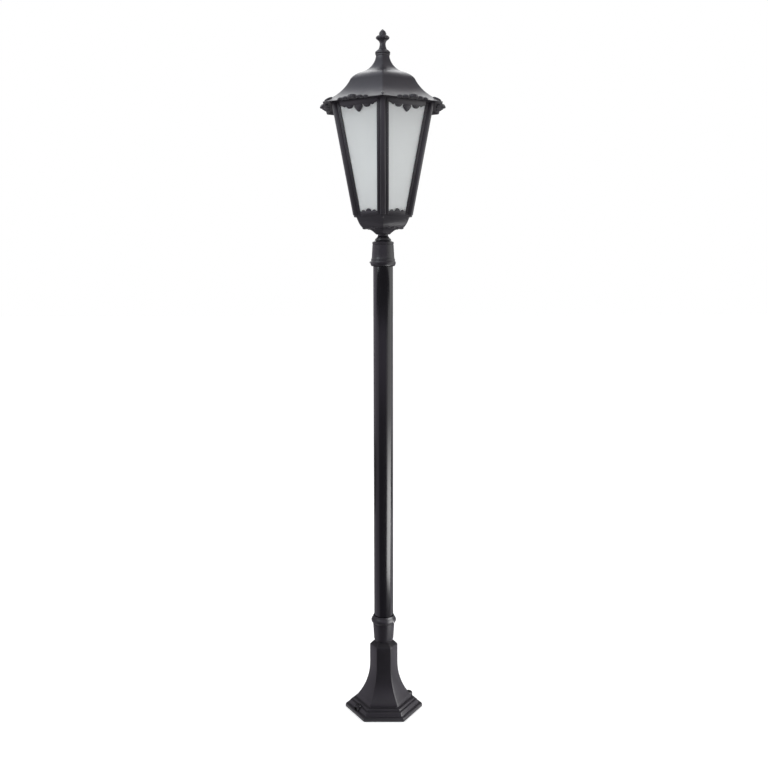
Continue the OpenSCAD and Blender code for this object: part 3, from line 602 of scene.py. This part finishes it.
# Frosted pane: rough clear glass with a fine sanded grain on it
def frostedMaterial():
    facts = {"color": (0.96, 0.98, 0.975), "clouded": 0.95, "cloudScale": 9, "roughness": 0.6,
             "grainScale": 1400, "grain": 0.3, "grainDepth": 0.0001, "bending": 1.45, "clear": 0.55}
    material, nodes, links, shader = newMaterial("frosted glass")
    clouds = ownNoise(nodes, links, facts["cloudScale"])
    cloudedColor(nodes, links, shader, clouds, facts["color"], facts["clouded"])
    grain = ownNoise(nodes, links, facts["grainScale"])
    roughenSurface(nodes, links, shader, grain, facts["grain"], facts["grainDepth"])
    shader.inputs["Roughness"].default_value = facts["roughness"]
    shader.inputs["IOR"].default_value = facts["bending"]
    shader.inputs["Transmission Weight"].default_value = facts["clear"]
    return material


# Turned or rolled steel: bright, with fine lines round the axis
def steelMaterial():
    facts = {"color": (0.62, 0.61, 0.6), "inLines": 0.8, "roughness": 0.3, "lineScale": 60, "lineStretch": 40,
             "lines": 0.2, "lineDepth": 0.0001}
    material, nodes, links, shader = newMaterial("plated steel")
    lines = ownNoise(nodes, links, facts["lineScale"], facts["lineStretch"])
    cloudedColor(nodes, links, shader, lines, facts["color"], facts["inLines"])
    roughenSurface(nodes, links, shader, lines, facts["lines"], facts["lineDepth"])
    shader.inputs["Metallic"].default_value = 1
    shader.inputs["Roughness"].default_value = facts["roughness"]
    return material


# Holder and bulb: nearly white, with faint clouds
def paleMaterial(name, color, roughness, scale, clouded=0.93):
    material, nodes, links, shader = newMaterial(name)
    cloudedColor(nodes, links, shader, ownNoise(nodes, links, scale), color, clouded)
    shader.inputs["Roughness"].default_value = roughness
    return material


frosted = frostedMaterial()
steel = steelMaterial()
holderPlastic = paleMaterial("holder moulding", (0.78, 0.76, 0.71), 0.5, 300)
opalGlass = paleMaterial("opal bulb", (0.88, 0.87, 0.83), 0.25, 30)
print("materials done")


# Base

base = {"flatTurn": 30, "footR": 124, "columnR": 44.3, "neckR": 30.5, "footCorner": 4.5, "columnCorner": 2.4,
        "stepW": 38, "sweepLow": 40, "sweepRise": 110, "wall": 5.2, "columnHollow": 32.7, "footHollow": 99.4,
        "bossR": 12.5, "bossAcross": 92.99, "bossTop": 28.5, "pocketR": 8, "pocketFloor": 11,
        "pocketTop": 24, "holeR": 5.5, "capHoleR": 4.5}
# Steps of the foot from the ground up: how far in from the foot's flat, and height
footSteps = ((0.6, 0), (0, 0.8), (0, 7.6), (0.7, 9.4), (2.2, 11.2), (4.6, 12.6), (6.6, 12.9), (8.2, 12.4),
             (9.2, 12.9), (10.6, 15.4), (12.4, 19.2), (13.6, 22.4), (15, 24.2), (17, 25.1), (18.6, 24.9),
             (19.6, 25.4), (20.4, 27.6), (21.4, 30), (22.8, 31.4), (25, 32), (28.2, 32.2), (30.6, 33.4),
             (31.6, 36))


def baseRings():
    foot, column, neck = base["footR"] * cos30, base["columnR"] * cos30, base["neckR"] * cos30
    steps = [(foot - inward, z) for inward, z in footSteps]
    # The sweep leaves the column upright and ends at the steps
    low, rise, run = base["sweepLow"], base["sweepRise"], base["footR"] - base["stepW"] - base["columnR"]
    r = (rise * rise + run * run) / 2 / run
    sweep = []
    for i in range(25):
        z = low + rise * i / 24
        sweep.append(((base["columnR"] + r - math.sqrt(r * r - (low + rise - z) ** 2)) * cos30, z))
    top = [(column, 165), (column, 180), (column, 195), (column, 208.6), (column - 0.5, 210.4),
           (column - 1.8, 211.8), (neck + 1.6, 220.9), (neck, levels["baseTop"])]
    outside = steps + sweep + top
    inside = [(base["columnHollow"], 213), (base["columnHollow"], low + rise)]
    inside += [(a - base["wall"], z) for a, z in reversed(sweep[4:-4:2])]
    inside += [(72, 28), (base["footHollow"], 5), (base["footHollow"], 0)]
    rings = []
    for a, z in inside:
        rings.append((hexRing(a, 3, base["flatTurn"]), z))
    # The corners grow rounder from the column down to the foot
    for a, z in outside:
        t = min(1, max(0, (a - 37) / 70))
        corner = base["columnCorner"] + t * (base["footCorner"] - base["columnCorner"])
        rings.append((hexRing(a, corner, base["flatTurn"]), z))
    return rings


def bossTool(name, line, turn):
    piece = growBody(name, [(roundRing(r, 40), z) for r, z in line])
    piece.data.transform(turned(turn) @ moved(base["bossAcross"], 0, 0))
    return piece


# Arched mouth of a boss, which opens outward
def mouthTool(turn):
    r, low, high = base["pocketR"], base["pocketFloor"], base["pocketTop"]
    arch = [(-r, low), (r, low)] + arcPoints(0, high - r, r, 0, 180, 16)
    return cutPlate("mouth", arch, 40, 0.01, turned(turn) @ moved(base["bossAcross"], 0, 0) @ upright)


def makeBase():
    casting = growBody("base_casting", baseRings())
    r, top, floor, ceiling = base["bossR"], base["bossTop"], base["pocketFloor"], base["pocketTop"]
    bore = base["pocketR"]
    for turn in (base["flatTurn"], base["flatTurn"] + 180):
        boss = bossTool("boss", [(r, 6), (r, top - 5.5), (r - 0.5, top - 3.4), (r - 1.8, top - 1.6),
                                 (r - 3.6, top - 0.5), (r - 5.4, top)], turn)
        cutAway(casting, boss, "UNION")
        cutAway(casting, bossTool("pocket", [(bore, floor), (bore, ceiling - 4), (bore - 1.2, ceiling - 1.4),
                                             (bore - 3.4, ceiling)], turn))
        cutAway(casting, mouthTool(turn))
        cutAway(casting, bossTool("hole", [(base["holeR"], -5), (base["holeR"], floor + 2)], turn))
        capHole = [(base["capHoleR"], ceiling - 6), (base["capHoleR"], top + 4)]
        cutAway(casting, bossTool("cap hole", capHole, turn))
    smooth(casting, 30)
    dress(casting, baseCoat, "base_coat", "base")


makeBase()
print("base done")


# Collars and pole

def roundBody(name, line, count=96):
    return growBody(name, [(roundRing(r, count), z) for r, z in line])


lowerCollar = {"foot": 30.8, "top": 33.6, "bead": 5.6, "beadLow": 58.5, "beadHigh": 79.5, "height": 84,
               "socket": 30.15, "seat": 36.2, "spigot": 17, "spigotFoot": -24}


def makeLowerCollar():
    c, z0 = lowerCollar, levels["baseTop"]
    foot, top, height = c["foot"], c["top"], c["height"]
    outside = [(28.0, 0), (28.3, 0.4), (28.4, 2.5)]
    outside += curvePoints([(28.6, 4), (29.8, 5), (30.6, 6.5), (foot, 10)], 6)
    outside += [(foot + (top - foot) * (z - 10) / 44, z) for z in (22, 34, 46, 54)]
    outside += [(top + 0.2, 56.6), (top - 0.6, 57.4), (top - 0.6, 58.4)]
    beadHeight = c["beadHigh"] - c["beadLow"]
    for w in (6, 16, 28, 42, 56, 70, 82, 92, 102, 114, 126, 140, 154, 168):
        bulge = c["bead"] * math.sin(math.radians(w)) ** 0.85
        outside.append((top + bulge, c["beadLow"] + beadHeight * w / 180))
    outside += [(top + 0.1, 80.6), (top - 0.1, 82.8), (top - 0.9, 83.8), (c["socket"] + 0.9, height),
                (c["socket"], height - 0.8)]
    rings = [(c["spigot"], c["spigotFoot"]), (c["spigot"], 0)] + outside + [(c["socket"], c["seat"])]
    collar = roundBody("lower_collar_casting", [(r, z + z0) for r, z in rings])
    smooth(collar, 35)
    dress(collar, collarCoat, "collar_coat", "lower_collar")


upperCollar = {"spigot": 15.6, "socket": 30.15, "seat": 55}


def makeUpperCollar():
    c, z0 = upperCollar, levels["collarFoot"]
    line = [(c["socket"], c["seat"]), (c["socket"], 0.8), (c["socket"] + 0.8, 0), (34.4, 0), (35.3, 0.8),
            (36.5, 2.6), (37.6, 5), (38.3, 7.4), (38.6, 9.8), (38.5, 11.6), (38, 13.4), (37.2, 15),
            (36.2, 16.2), (36.1, 17.2), (36.6, 18.4), (36.6, 20), (35.9, 21.6), (35, 23.8), (34.5, 26),
            (34.1, 28.4), (33.7, 36), (33.1, 46), (32.6, 56), (32.2, 63.4), (31.4, 64), (31.4, 65.2),
            (32.2, 65.8),
            (32.4, 69.6), (32.3, 72.6), (31.6, 73.4), (28.6, 74.2), (26.6, 75.2), (25, 77.2), (24.2, 80),
            (23.6, 82.4), (22.4, 83.2), (20.8, 83.6), (20.6, 84.8), (19.2, 86), (17.8, 87.6), (16.8, 89.2),
            (16.1, 90.4), (c["spigot"], 91), (c["spigot"], 95.4)]
    collar = roundBody("upper_collar_casting", [(r, z + z0) for r, z in line])
    smooth(collar, 35)
    dress(collar, collarCoat, "collar_coat", "upper_collar")


poleTube = {"r": 30, "wall": 2.5, "edge": 0.5}


def makePole():
    low, high = levels["poleFoot"], levels["poleTop"]
    clearSelection()
    bpy.ops.mesh.primitive_cylinder_add(vertices=144, radius=poleTube["r"] * mm, depth=(high - low) * mm,
                                        end_fill_type="NOTHING", location=(0, 0, (high + low) / 2 * mm))
    tube = bpy.context.object
    tube.name = tube.data.name = "pole_tube"
    bpy.ops.object.transform_apply(location=True, rotation=False, scale=False)
    applyModifier(tube, "SOLIDIFY", thickness=poleTube["wall"] * mm, offset=-1)
    softenEdges(tube, poleTube["edge"], 2, 60)
    smooth(tube, 40)
    dress(tube, poleCoat, "pole_coat", "pole")


# Grub screw from its foot up, as (radius, height), down into its socket
setScrew = {"from": 30.2, "line": ((2.4, 0), (2.8, 0.4), (2.8, 10.1), (2.5, 10.7), (1.7, 10.8), (1.5, 10.2),
                                   (1.5, 8.2))}


# Grub screws that stand out of the bead of a collar
def makeSetScrews(name, node, z, turns):
    screws = []
    for turn in turns:
        screw = roundBody("screw", setScrew["line"], 24)
        screw.data.transform(turned(turn) @ moved(setScrew["from"], 0, z)
                             @ Matrix.Rotation(math.radians(90), 4, "Y"))
        smooth(screw, 30)
        screws.append(screw)
    dress(joinPieces(name, screws), steel, "plain_steel", node)


makeLowerCollar()
makeUpperCollar()
makePole()
makeSetScrews("lower_grub_screws", "lower_set_screws", 291, (-39, 51))
makeSetScrews("upper_grub_screws", "upper_set_screws", 1419, (183, 93))
print("collars and pole done")


# Lantern: places on its faces and corners

# Flat distance of the glass at the foot and at the top of the ribs, and the height between
glass = {"low": 80.4, "top": 140, "ribH": 319}
glassTilt = math.atan((glass["top"] - glass["low"]) / glass["ribH"])
cornerTilt = math.atan((glass["top"] - glass["low"]) / cos30 / glass["ribH"])
sideTurn = math.acos(0.5 * math.cos(glassTilt) ** 2 + math.sin(glassTilt) ** 2) / 2


# Frame of one face: x across, y up the slope, z outward, origin on the glass at its top
def onFace(i):
    return (turned(60 * i) @ moved(glass["top"], 0, levels["ribTop"])
            @ Matrix.Rotation(glassTilt, 4, "Y") @ upright)


# Frame of one corner: z up along the corner of the glass, x outward, at height h
def onCorner(i, h):
    along = (h - levels["ribFoot"]) / math.cos(cornerTilt)
    return (turned(60 * i - 30) @ moved(glass["low"] / cos30, 0, levels["ribFoot"])
            @ Matrix.Rotation(cornerTilt, 4, "Y") @ moved(0, 0, along))


sideSlope = math.atan(math.sin(glassTilt) * tan30)


# Half the width of a face at y up its slope, less a gap to the corner
def faceX(y, gap):
    return (glass["top"] + y * math.sin(glassTilt)) * tan30 - gap / math.cos(sideSlope)


# Place up the slope of a face that lies at height z
def slopeY(z):
    return (z - levels["ribTop"]) / math.cos(glassTilt)


# Bowl

bowl = {"edgeA": 58.5, "ledgeA": 80.39, "corner": 1.5, "wall": 3.5, "lobesIn": 3}
# Rim over the ledge, with one middle and two side humps on each face
bowlRim = {"thick": 3, "edge": 0.6, "gap": 18, "flat": 27.6, "sideAt": 18.5, "sideR": 6.5, "sideUp": 4,
           "middleR": 9, "middleUp": 8}
# Lobes under the edge of the bowl: place along the face, radius, drop
bowlLobes = ((-17, 5.5, 1.5), (0, 7, 2.5), (17, 5.5, 1.5))


def bowlRimOutline():
    side, middle = bowlRim["sideR"], bowlRim["middleR"]
    low, high = slopeY(levels["ledge"] - 3), slopeY(levels["ledge"] + 9.5)
    lowX, highX = faceX(low, bowlRim["gap"]), faceX(high, bowlRim["gap"])
    sideY, middleY = high + bowlRim["sideUp"] - side, high + bowlRim["middleUp"] - middle
    outline = [(-lowX, low), (lowX, low), (highX, high), (bowlRim["flat"], high)]
    outline += arcPoints(bowlRim["sideAt"], sideY, side, 24, 156, 12)
    outline += arcPoints(0, middleY, middle, 8, 172, 18)
    outline += arcPoints(-bowlRim["sideAt"], sideY, side, 24, 156, 12)
    return outline + [(-bowlRim["flat"], high), (-highX, high)]


def makeBowl():
    z0 = levels["collarTop"]
    edge, ledge = bowl["edgeA"], bowl["ledgeA"]
    wall = curvePoints([(edge, 17.5), (72.5, 29.5), (78.1, 43.5), (ledge, 55.5)], 16)
    inner = [(a - bowl["wall"], z) for a, z in wall if z > 23]
    rings = [(50, 22.0), (54.6, 22.2)] + inner + [(76.9, 55.3), (79.6, 55.5), (ledge, 54.9)]
    rings += [(a, z) for a, z in reversed(wall[1:-1])]
    rings += [(59.2, 18.7), (58.6, 17.9), (57.4, 17.5), (54, 17.2)]
    neck = curvePoints([(20.2, 0), (25.4, 4.6), (35.2, 15.4), (46.5, 17.3)], 14)
    rings += [(a, z) for a, z in reversed(neck[1:])] + [(20.4, 0.6), (19.8, 0)]

    def corner(a):
        return bowl["corner"] if a > 40 else 2.2 + (a - 20) * 0.05

    casting = growBody("bowl_casting", [(hexRing(a, corner(a), 0), z + z0) for a, z in rings])
    smooth(casting, 32)
    parts = [casting]
    outline = bowlRimOutline()
    for i in range(6):
        rim = cutPlate("rim", outline, bowlRim["thick"], bowlRim["edge"], onFace(i) @ moved(0, 0, 0.2))
        smooth(rim, 40)
        parts.append(rim)
        for x, r, drop in bowlLobes:
            lobe = unitBall()
            lobe.data.transform(turned(60 * i) @ moved(edge - bowl["lobesIn"], x, levels["bowlEdge"] + 1)
                                @ Matrix.Diagonal((r * mm, r * mm, (drop + 1) * mm, 1)))
            smooth(lobe, 60)
            parts.append(lobe)
    dress(joinPieces("bowl_casting", parts), lanternCoat, "lantern_coat", "bowl")


makeBowl()
print("bowl done")


# Ribs

# Section of a rib, and the length of the bar that it is cut from
rib = {"side": 17.8, "thick": 4, "beadW": 7.5, "beadH": 3, "webT": 8, "innerW": 12, "innerT": 3, "slot": 3.4,
       "bar": 370, "barUnder": 20}


# Point on one side of a rib: s along that side, out away from the glass
def beside(s, out):
    return (out * math.cos(sideTurn) - s * math.sin(sideTurn),
            s * math.cos(sideTurn) + out * math.sin(sideTurn))


# Point on the side of the web between two panes
def besideWeb(out):
    return beside((rib["webT"] / 2 - out * math.sin(sideTurn)) / math.cos(sideTurn), out)


def ribOutline():
    thick, w, slot = rib["thick"], rib["beadW"], rib["slot"]
    back = slot + rib["innerT"]
    top = thick / math.cos(sideTurn) + rib["beadH"]
    half = [(top, 0), (top - 0.1, w * 0.28), (top - 0.45, w * 0.52), (top - 1.05, w * 0.74),
            (top - 1.9, w * 0.9), beside(w * 1.03, 4.2), beside(w * 1.08, 2.7), beside(w * 1.16, 2.3),
            beside(w * 1.3, 2.3), beside(w * 1.4, 2.9), beside(w * 1.5, thick), beside(w * 1.72, thick),
            beside(w * 1.8, 3.2), beside(w * 1.88, 3.2), beside(w * 1.96, thick), beside(17.0, thick),
            beside(17.6, 3.6),
            beside(rib["side"], 3.0), beside(rib["side"], 0.1), besideWeb(0), besideWeb(-slot),
            beside(rib["innerW"], -slot), beside(rib["innerW"], -slot - rib["innerT"]),
            (-back / math.cos(sideTurn), 0)]
    return half + [(x, -y) for x, y in reversed(half[1:-1])]


def makeRibs():
    first = drawOutline("rib_casting_1", ribOutline())
    enterEdit()
    bpy.ops.mesh.extrude_region_move(TRANSFORM_OT_translate={"value": (0, 0, rib["bar"] * mm)})
    leaveEdit()
    first.data.transform(onCorner(0, levels["ribFoot"]) @ moved(0, 0, -rib["barUnder"]))
    # Level ends
    for z, keepAbove in ((levels["ribFoot"], True), (levels["ribTop"] - 0.02, False)):
        activate(first)
        enterEdit()
        bpy.ops.mesh.bisect(plane_co=(0, 0, z * mm), plane_no=(0, 0, 1), use_fill=True,
                            clear_inner=keepAbove, clear_outer=not keepAbove)
        bpy.ops.object.mode_set(mode="OBJECT")
    mergeDoubles(first)
    # The foot stops outside the bowl: its inner part is cut off at the ledge
    clearSelection()
    bpy.ops.mesh.primitive_cylinder_add(vertices=6, radius=(bowl["ledgeA"] + 0.2) / cos30 * mm, depth=40 * mm,
                                        location=(0, 0, (levels["ledge"] - 20) * mm), rotation=(0, 0, 0))
    block = bpy.context.object
    bpy.ops.object.transform_apply(location=True, rotation=True, scale=True)
    cutAway(first, block)
    softenEdges(first, 0.35, 2, 50)
    smooth(first, 32)
    for i in range(6):
        piece = first if i == 0 else copyTurned(first, "rib_casting_%d" % (i + 1), 60 * i)
        dress(piece, lanternCoat, "lantern_coat", "rib_%d" % (i + 1))


makeRibs()
print("ribs done")


# Top frame with valances

topFrame = {"outer": 147.9, "inner": 118, "band": 12, "thick": 6, "corner": 3}
# Lower edge of a valance: (place along the face, drop under the band), from the tip of the pendant outwards
valance = {"tip": 20.6, "gap": 18, "thick": 3, "edge": 0.6,
           "pendant": ((2.2, 19.9), (4.6, 18.2), (7.2, 15.6), (9.8, 12.4), (12, 9.2), (13.3, 6.4), (13.5, 4.4),
                       (12.9, 2.8)),
           "notch": ((12.7, 1.9), (13.4, 1.1), (14.8, 0.8), (16.2, 1.2), (17.3, 2.4)),
           "lobe": ((18.2, 4.4), (19.8, 6.6), (22.4, 8.5), (25.6, 9.4), (29.5, 9.6), (33.2, 9.2), (36.4, 7.9),
                    (38.6, 5.8)),
           "scallop": ((39.8, 3.8), (41, 2.6), (42.6, 2.6), (44, 3.6), (45.8, 4.3), (48, 4.1), (50.2, 3),
                       (51.8, 1.4)),
           "end": ((53.8, 0.5), (57, -0.6))}


def valanceOutline():
    low, top = slopeY(levels["ribTop"] - topFrame["band"]), slopeY(levels["ribTop"] + 2.6)
    edge = [stop for part in ("pendant", "notch", "lobe", "scallop", "end") for stop in valance[part]]
    half = [(x, low - drop) for x, drop in edge]
    half += [(faceX(low, valance["gap"]), low + 1.6), (faceX(top, valance["gap"]), top)]
    return [(0, low - valance["tip"])] + half + [(-x, y) for x, y in reversed(half)], low


# Raised field of a lobe: its outline drawn in by a margin towards its middle
def raisedField(points, middle, margin):
    cx, cy = middle
    out = []
    for x, y in points:
        d = math.hypot(x - cx, y - cy)
        out.append((cx + (x - cx) * (d - margin) / d, cy + (y - cy) * (d - margin) / d))
    return out


def makeTopFrame():
    clearSelection()
    bpy.ops.mesh.primitive_circle_add(vertices=24, radius=0.1, fill_type="NGON",
                                      location=(0, 0, levels["ribTop"] * mm))
    ring = bpy.context.object
    bpy.ops.object.transform_apply(location=True, rotation=False, scale=False)
    bpy.ops.object.mode_set(mode="EDIT")
    mesh = bmesh.from_edit_mesh(ring.data)
    loop = sorted(mesh.verts, key=lambda v: math.atan2(v.co.y, v.co.x))
    for v, p in zip(loop, hexRing(topFrame["outer"], topFrame["corner"], 0)):
        v.co.x, v.co.y = p[0] * mm, p[1] * mm
    bmesh.update_edit_mesh(ring.data)
    bpy.ops.mesh.select_all(action="SELECT")
    bpy.ops.mesh.inset(thickness=(topFrame["outer"] - topFrame["inner"]) * mm)
    bpy.ops.mesh.delete(type="FACE")
    bpy.ops.mesh.select_all(action="SELECT")
    bpy.ops.mesh.extrude_region_move(TRANSFORM_OT_translate={"value": (0, 0, topFrame["thick"] * mm)})
    leaveEdit()
    softenEdges(ring, 0.8, 2, 60)
    smooth(ring, 32)
    parts = [ring]
    outline, low = valanceOutline()
    half = [(x, low - drop) for x, drop in valance["pendant"]]
    shield = raisedField([(0, low - valance["tip"])] + half + [(9, low + 1), (0, low + 2.4), (-9, low + 1)]
                         + [(-x, y) for x, y in reversed(half)], (0, low - 6.5), 3.6)
    side = [(x, low - drop) for x, drop in valance["lobe"]]
    side += [(37.5, low - 2.2), (33, low + 0.4), (29.5, low + 1), (26, low + 0.4), (20.6, low - 2.2)]
    bud = raisedField(side, (29.2, low - 4), 2.8)
    for i in range(6):
        plate = cutPlate("valance", outline, valance["thick"], valance["edge"], onFace(i) @ moved(0, 0, 0.2))
        smooth(plate, 40)
        parts.append(plate)
        for field in (shield, bud, [(-x, y) for x, y in reversed(bud)]):
            raised = cutPlate("raised_field", field, 1.6, 0.7, onFace(i) @ moved(0, 0, 2.4))
            smooth(raised, 60)
            parts.append(raised)
    dress(joinPieces("top_frame_casting", parts), lanternCoat, "lantern_coat", "top_frame")


makeTopFrame()
print("top frame done")


# Roof

roof = {"brimA": 172.8, "wall": 3.4, "seatA": 124, "seatW": 4, "seatH": 16, "seatUp": 4}


def roofOutline():
    flare = curvePoints([(172.4, -2.6), (140, 14), (115, 33), (97, 65.5)], 26, False)
    dome = curvePoints([(96.7, 66.2), (93.2, 75.5), (80, 87.6), (62.5, 94)], 14, False)
    bell = curvePoints([(61.5, 94.5), (43, 101.5), (24, 120.5), (19.8, 146)], 20)
    brim = [(170.2, -4.3), (171.8, -4.3), (172.6, -4.1), (roof["brimA"], -3.7), (roof["brimA"], -3.2),
            (172.6, -2.8)]
    return brim + flare[1:] + dome + bell


def makeRoof():
    z0 = levels["brim"]
    outside = roofOutline()
    inside = [(a - roof["wall"] * 1.05, z - 2.2) for a, z in outside[9:-8:2]]
    inside = [(169.2, -4.1), (168.9, -3.4)] + [(min(a, 168.8), max(z, 1.6)) for a, z in inside]

    # The corners grow rounder from the brim up to the bell, and stay within the narrow top
    def corner(a):
        if a > 120:
            return 5.5
        return 5.5 + (120 - a) / 60 * 2.5 if a > 60 else min(8, a * 0.35)

    rings = [(hexRing(a, max(2, corner(a) - 3), 0), z + z0) for a, z in reversed(inside)]
    rings += [(hexRing(a, corner(a), 0), z + z0) for a, z in outside]
    shell = growBody("roof_casting", rings)
    smooth(shell, 34)
    parts = [shell]
    # Seat under the roof, which rests on the top frame
    half = (roof["seatA"] + 5) * tan30 - 1
    strip = [(-half, 0), (half, 0), (half, roof["seatH"]), (-half, roof["seatH"])]
    for i in range(6):
        place = turned(60 * i) @ moved(roof["seatA"], 0, z0 + roof["seatUp"]) @ upright
        parts.append(cutPlate("seat", strip, roof["seatW"], 0.4, place))
    parts += roofOrnaments(z0)
    dress(joinPieces("roof_casting", parts), lanternCoat, "lantern_coat", "roof")


# One ornament: a row of small rosettes along the edge of the brim, as (place, radius, out, top, petals)
rosettes = ((0, 15, 15, 8.2, 11), (-23, 11.5, 9.3, 4.4, 9), (23, 11.5, 9.3, 4.4, 9), (-42, 9, 5.1, 3.2, 7),
            (42, 9, 5.1, 3.2, 7))
# Section of a rosette, from its foot: (share of the radius, height, depth of its petals)
rosetteFoot = ((0.3, -4, 0), (0.7, -4, 0), (0.93, -3.4, 0.03), (1, -2.2, 0.06))
# From its edge over the top to its middle: (share of the radius, share of the way down, depth of its petals)
rosetteTop = ((0.99, 0.9, 0.07), (0.95, 0.7, 0.08), (0.88, 0.45, 0.09), (0.78, 0.22, 0.09), (0.66, 0.08, 0.08),
              (0.54, 0, 0.06), (0.46, 0.05, 0.02), (0.4, 0.2, 0), (0.34, 0.3, 0), (0.26, 0.28, 0),
              (0.2, 0.15, 0), (0.1, 0.05, 0), (0.03, 0.04, 0))
# Leaf on the ridge at a corner of the brim
leaf = {"long": 15, "half": 4.8, "taper": 1.6, "high": 4.2, "at": 181, "up": 5.4, "lean": 27}


# A ring with petals or flutes, as deep as the given share of the radius
def petalRing(r, depth, petals):
    count = petals * 8
    out = []
    for i in range(count):
        w = -math.pi + (i + 0.5) * 2 * math.pi / count
        reach = r * (1 - depth + depth * abs(math.cos(petals * w / 2)))
        out.append((reach * math.cos(w), reach * math.sin(w)))
    return out


def roofOrnaments(z0):
    made = []
    edge = roof["brimA"]
    for y, r, out, top, petals in rosettes:
        line = list(rosetteFoot)
        line += [(share, top - down * (top + 1.5), depth) for share, down, depth in rosetteTop]
        flower = growBody("rosette", [(petalRing(r * share, depth, petals), z) for share, z, depth in line])
        flower.data.transform(moved(edge + out - r, y, z0))
        smooth(flower, 50)
        made.append(flower)
    blade = unitBall()
    for v in blade.data.vertices:
        width = leaf["half"] - leaf["taper"] * v.co.x
        v.co = (v.co.x * leaf["long"] * mm, v.co.y * width * mm, v.co.z * leaf["high"] * mm)
    blade.data.transform(turned(30) @ moved(leaf["at"], 0, z0 + leaf["up"])
                         @ Matrix.Rotation(math.radians(leaf["lean"]), 4, "Y"))
    smooth(blade, 60)
    made.append(blade)
    one = joinPieces("ornament", made)
    return [one] + [copyTurned(one, "ornament", 60 * i) for i in range(1, 6)]


makeRoof()
print("roof done")


# Finial

finial = {"corner": 3.2, "knobs": 10, "flutes": 8}


def makeFinial():
    z0 = levels["roofTop"]
    skirt = [(17.5, 0), (19.8, 0), (20.4, 0.8), (20.8, 2.6), (20.6, 3.6), (19.4, 4.4), (19.4, 6), (21.4, 6.8),
             (22.2, 7.8), (22.2, 9.8), (21.4, 11), (17, 15.4), (13.6, 18.6), (11.6, 19.4)]
    foot = growBody("finial_skirt", [(hexRing(a, finial["corner"], 0), z + z0) for a, z in skirt])
    smooth(foot, 30)
    line = [(11, 14), (12.6, 19)] + curvePoints([(12.4, 21), (10.6, 25), (9.3, 29), (8.9, 35)], 12)
    line += curvePoints([(8.9, 37), (9.8, 41.4), (11.8, 45.6), (18.6, 49.6)], 9)
    stem = roundBody("finial_stem", [(r, z + z0) for r, z in line], 64)
    smooth(stem, 40)
    # Disc with a row of small knobs round it, and a fluted bud that ends in a point
    rim = [(14, 46.4, 0), (17.6, 48.6, 0.02), (19.6, 50.2, 0.07), (20.4, 52.2, 0.12), (20.3, 54.4, 0.12),
           (19, 56.4, 0.07), (16.4, 57.6, 0.02), (13, 58.4, 0), (11.6, 59.2, 0), (11, 60.2, 0)]
    disc = growBody("finial_disc", [(petalRing(r, depth, finial["knobs"]), z + z0) for r, z, depth in rim])
    smooth(disc, 50)
    bud = [(10.6, 59.4, 0), (11.2, 60.6, 0.05)]
    bud += [(r, z, 0.13) for r, z in curvePoints([(11, 62), (11.4, 68), (8.2, 72.2), (2.8, 75.6)], 9)]
    bud += [(1.7, 76.8, 0.06), (0.7, 77.7, 0), (0.2, 77.95, 0)]
    top = growBody("finial_bud", [(petalRing(r, depth, finial["flutes"]), z + z0) for r, z, depth in bud])
    smooth(top, 50)
    dress(joinPieces("finial_casting", [stem, foot, disc, top]), lanternCoat, "lantern_coat", "finial")


makeFinial()
print("finial done")


# Pieces that keep their own shape

kept = {"frosted_glass": (frosted, ["pane_%d" % i for i in range(1, 7)]),
        "plain_steel": (steel, ["lower_lock_nut", "neck_tube", "neck_nuts", "rib_screws_lower",
                                "rib_screws_upper", "roof_strap", "strap_screws", "roof_rod", "rod_nuts",
                                "lamp_bracket", "bracket_screws"]),
        "holder_body": (holderPlastic, ["lamp_holder"]), "bulb_white": (opalGlass, ["bulb"])}
for slotName, (material, names) in kept.items():
    for name in names:
        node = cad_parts[name]
        node.data.materials.clear()
        node.data.materials.append(material)
print("kept pieces done")
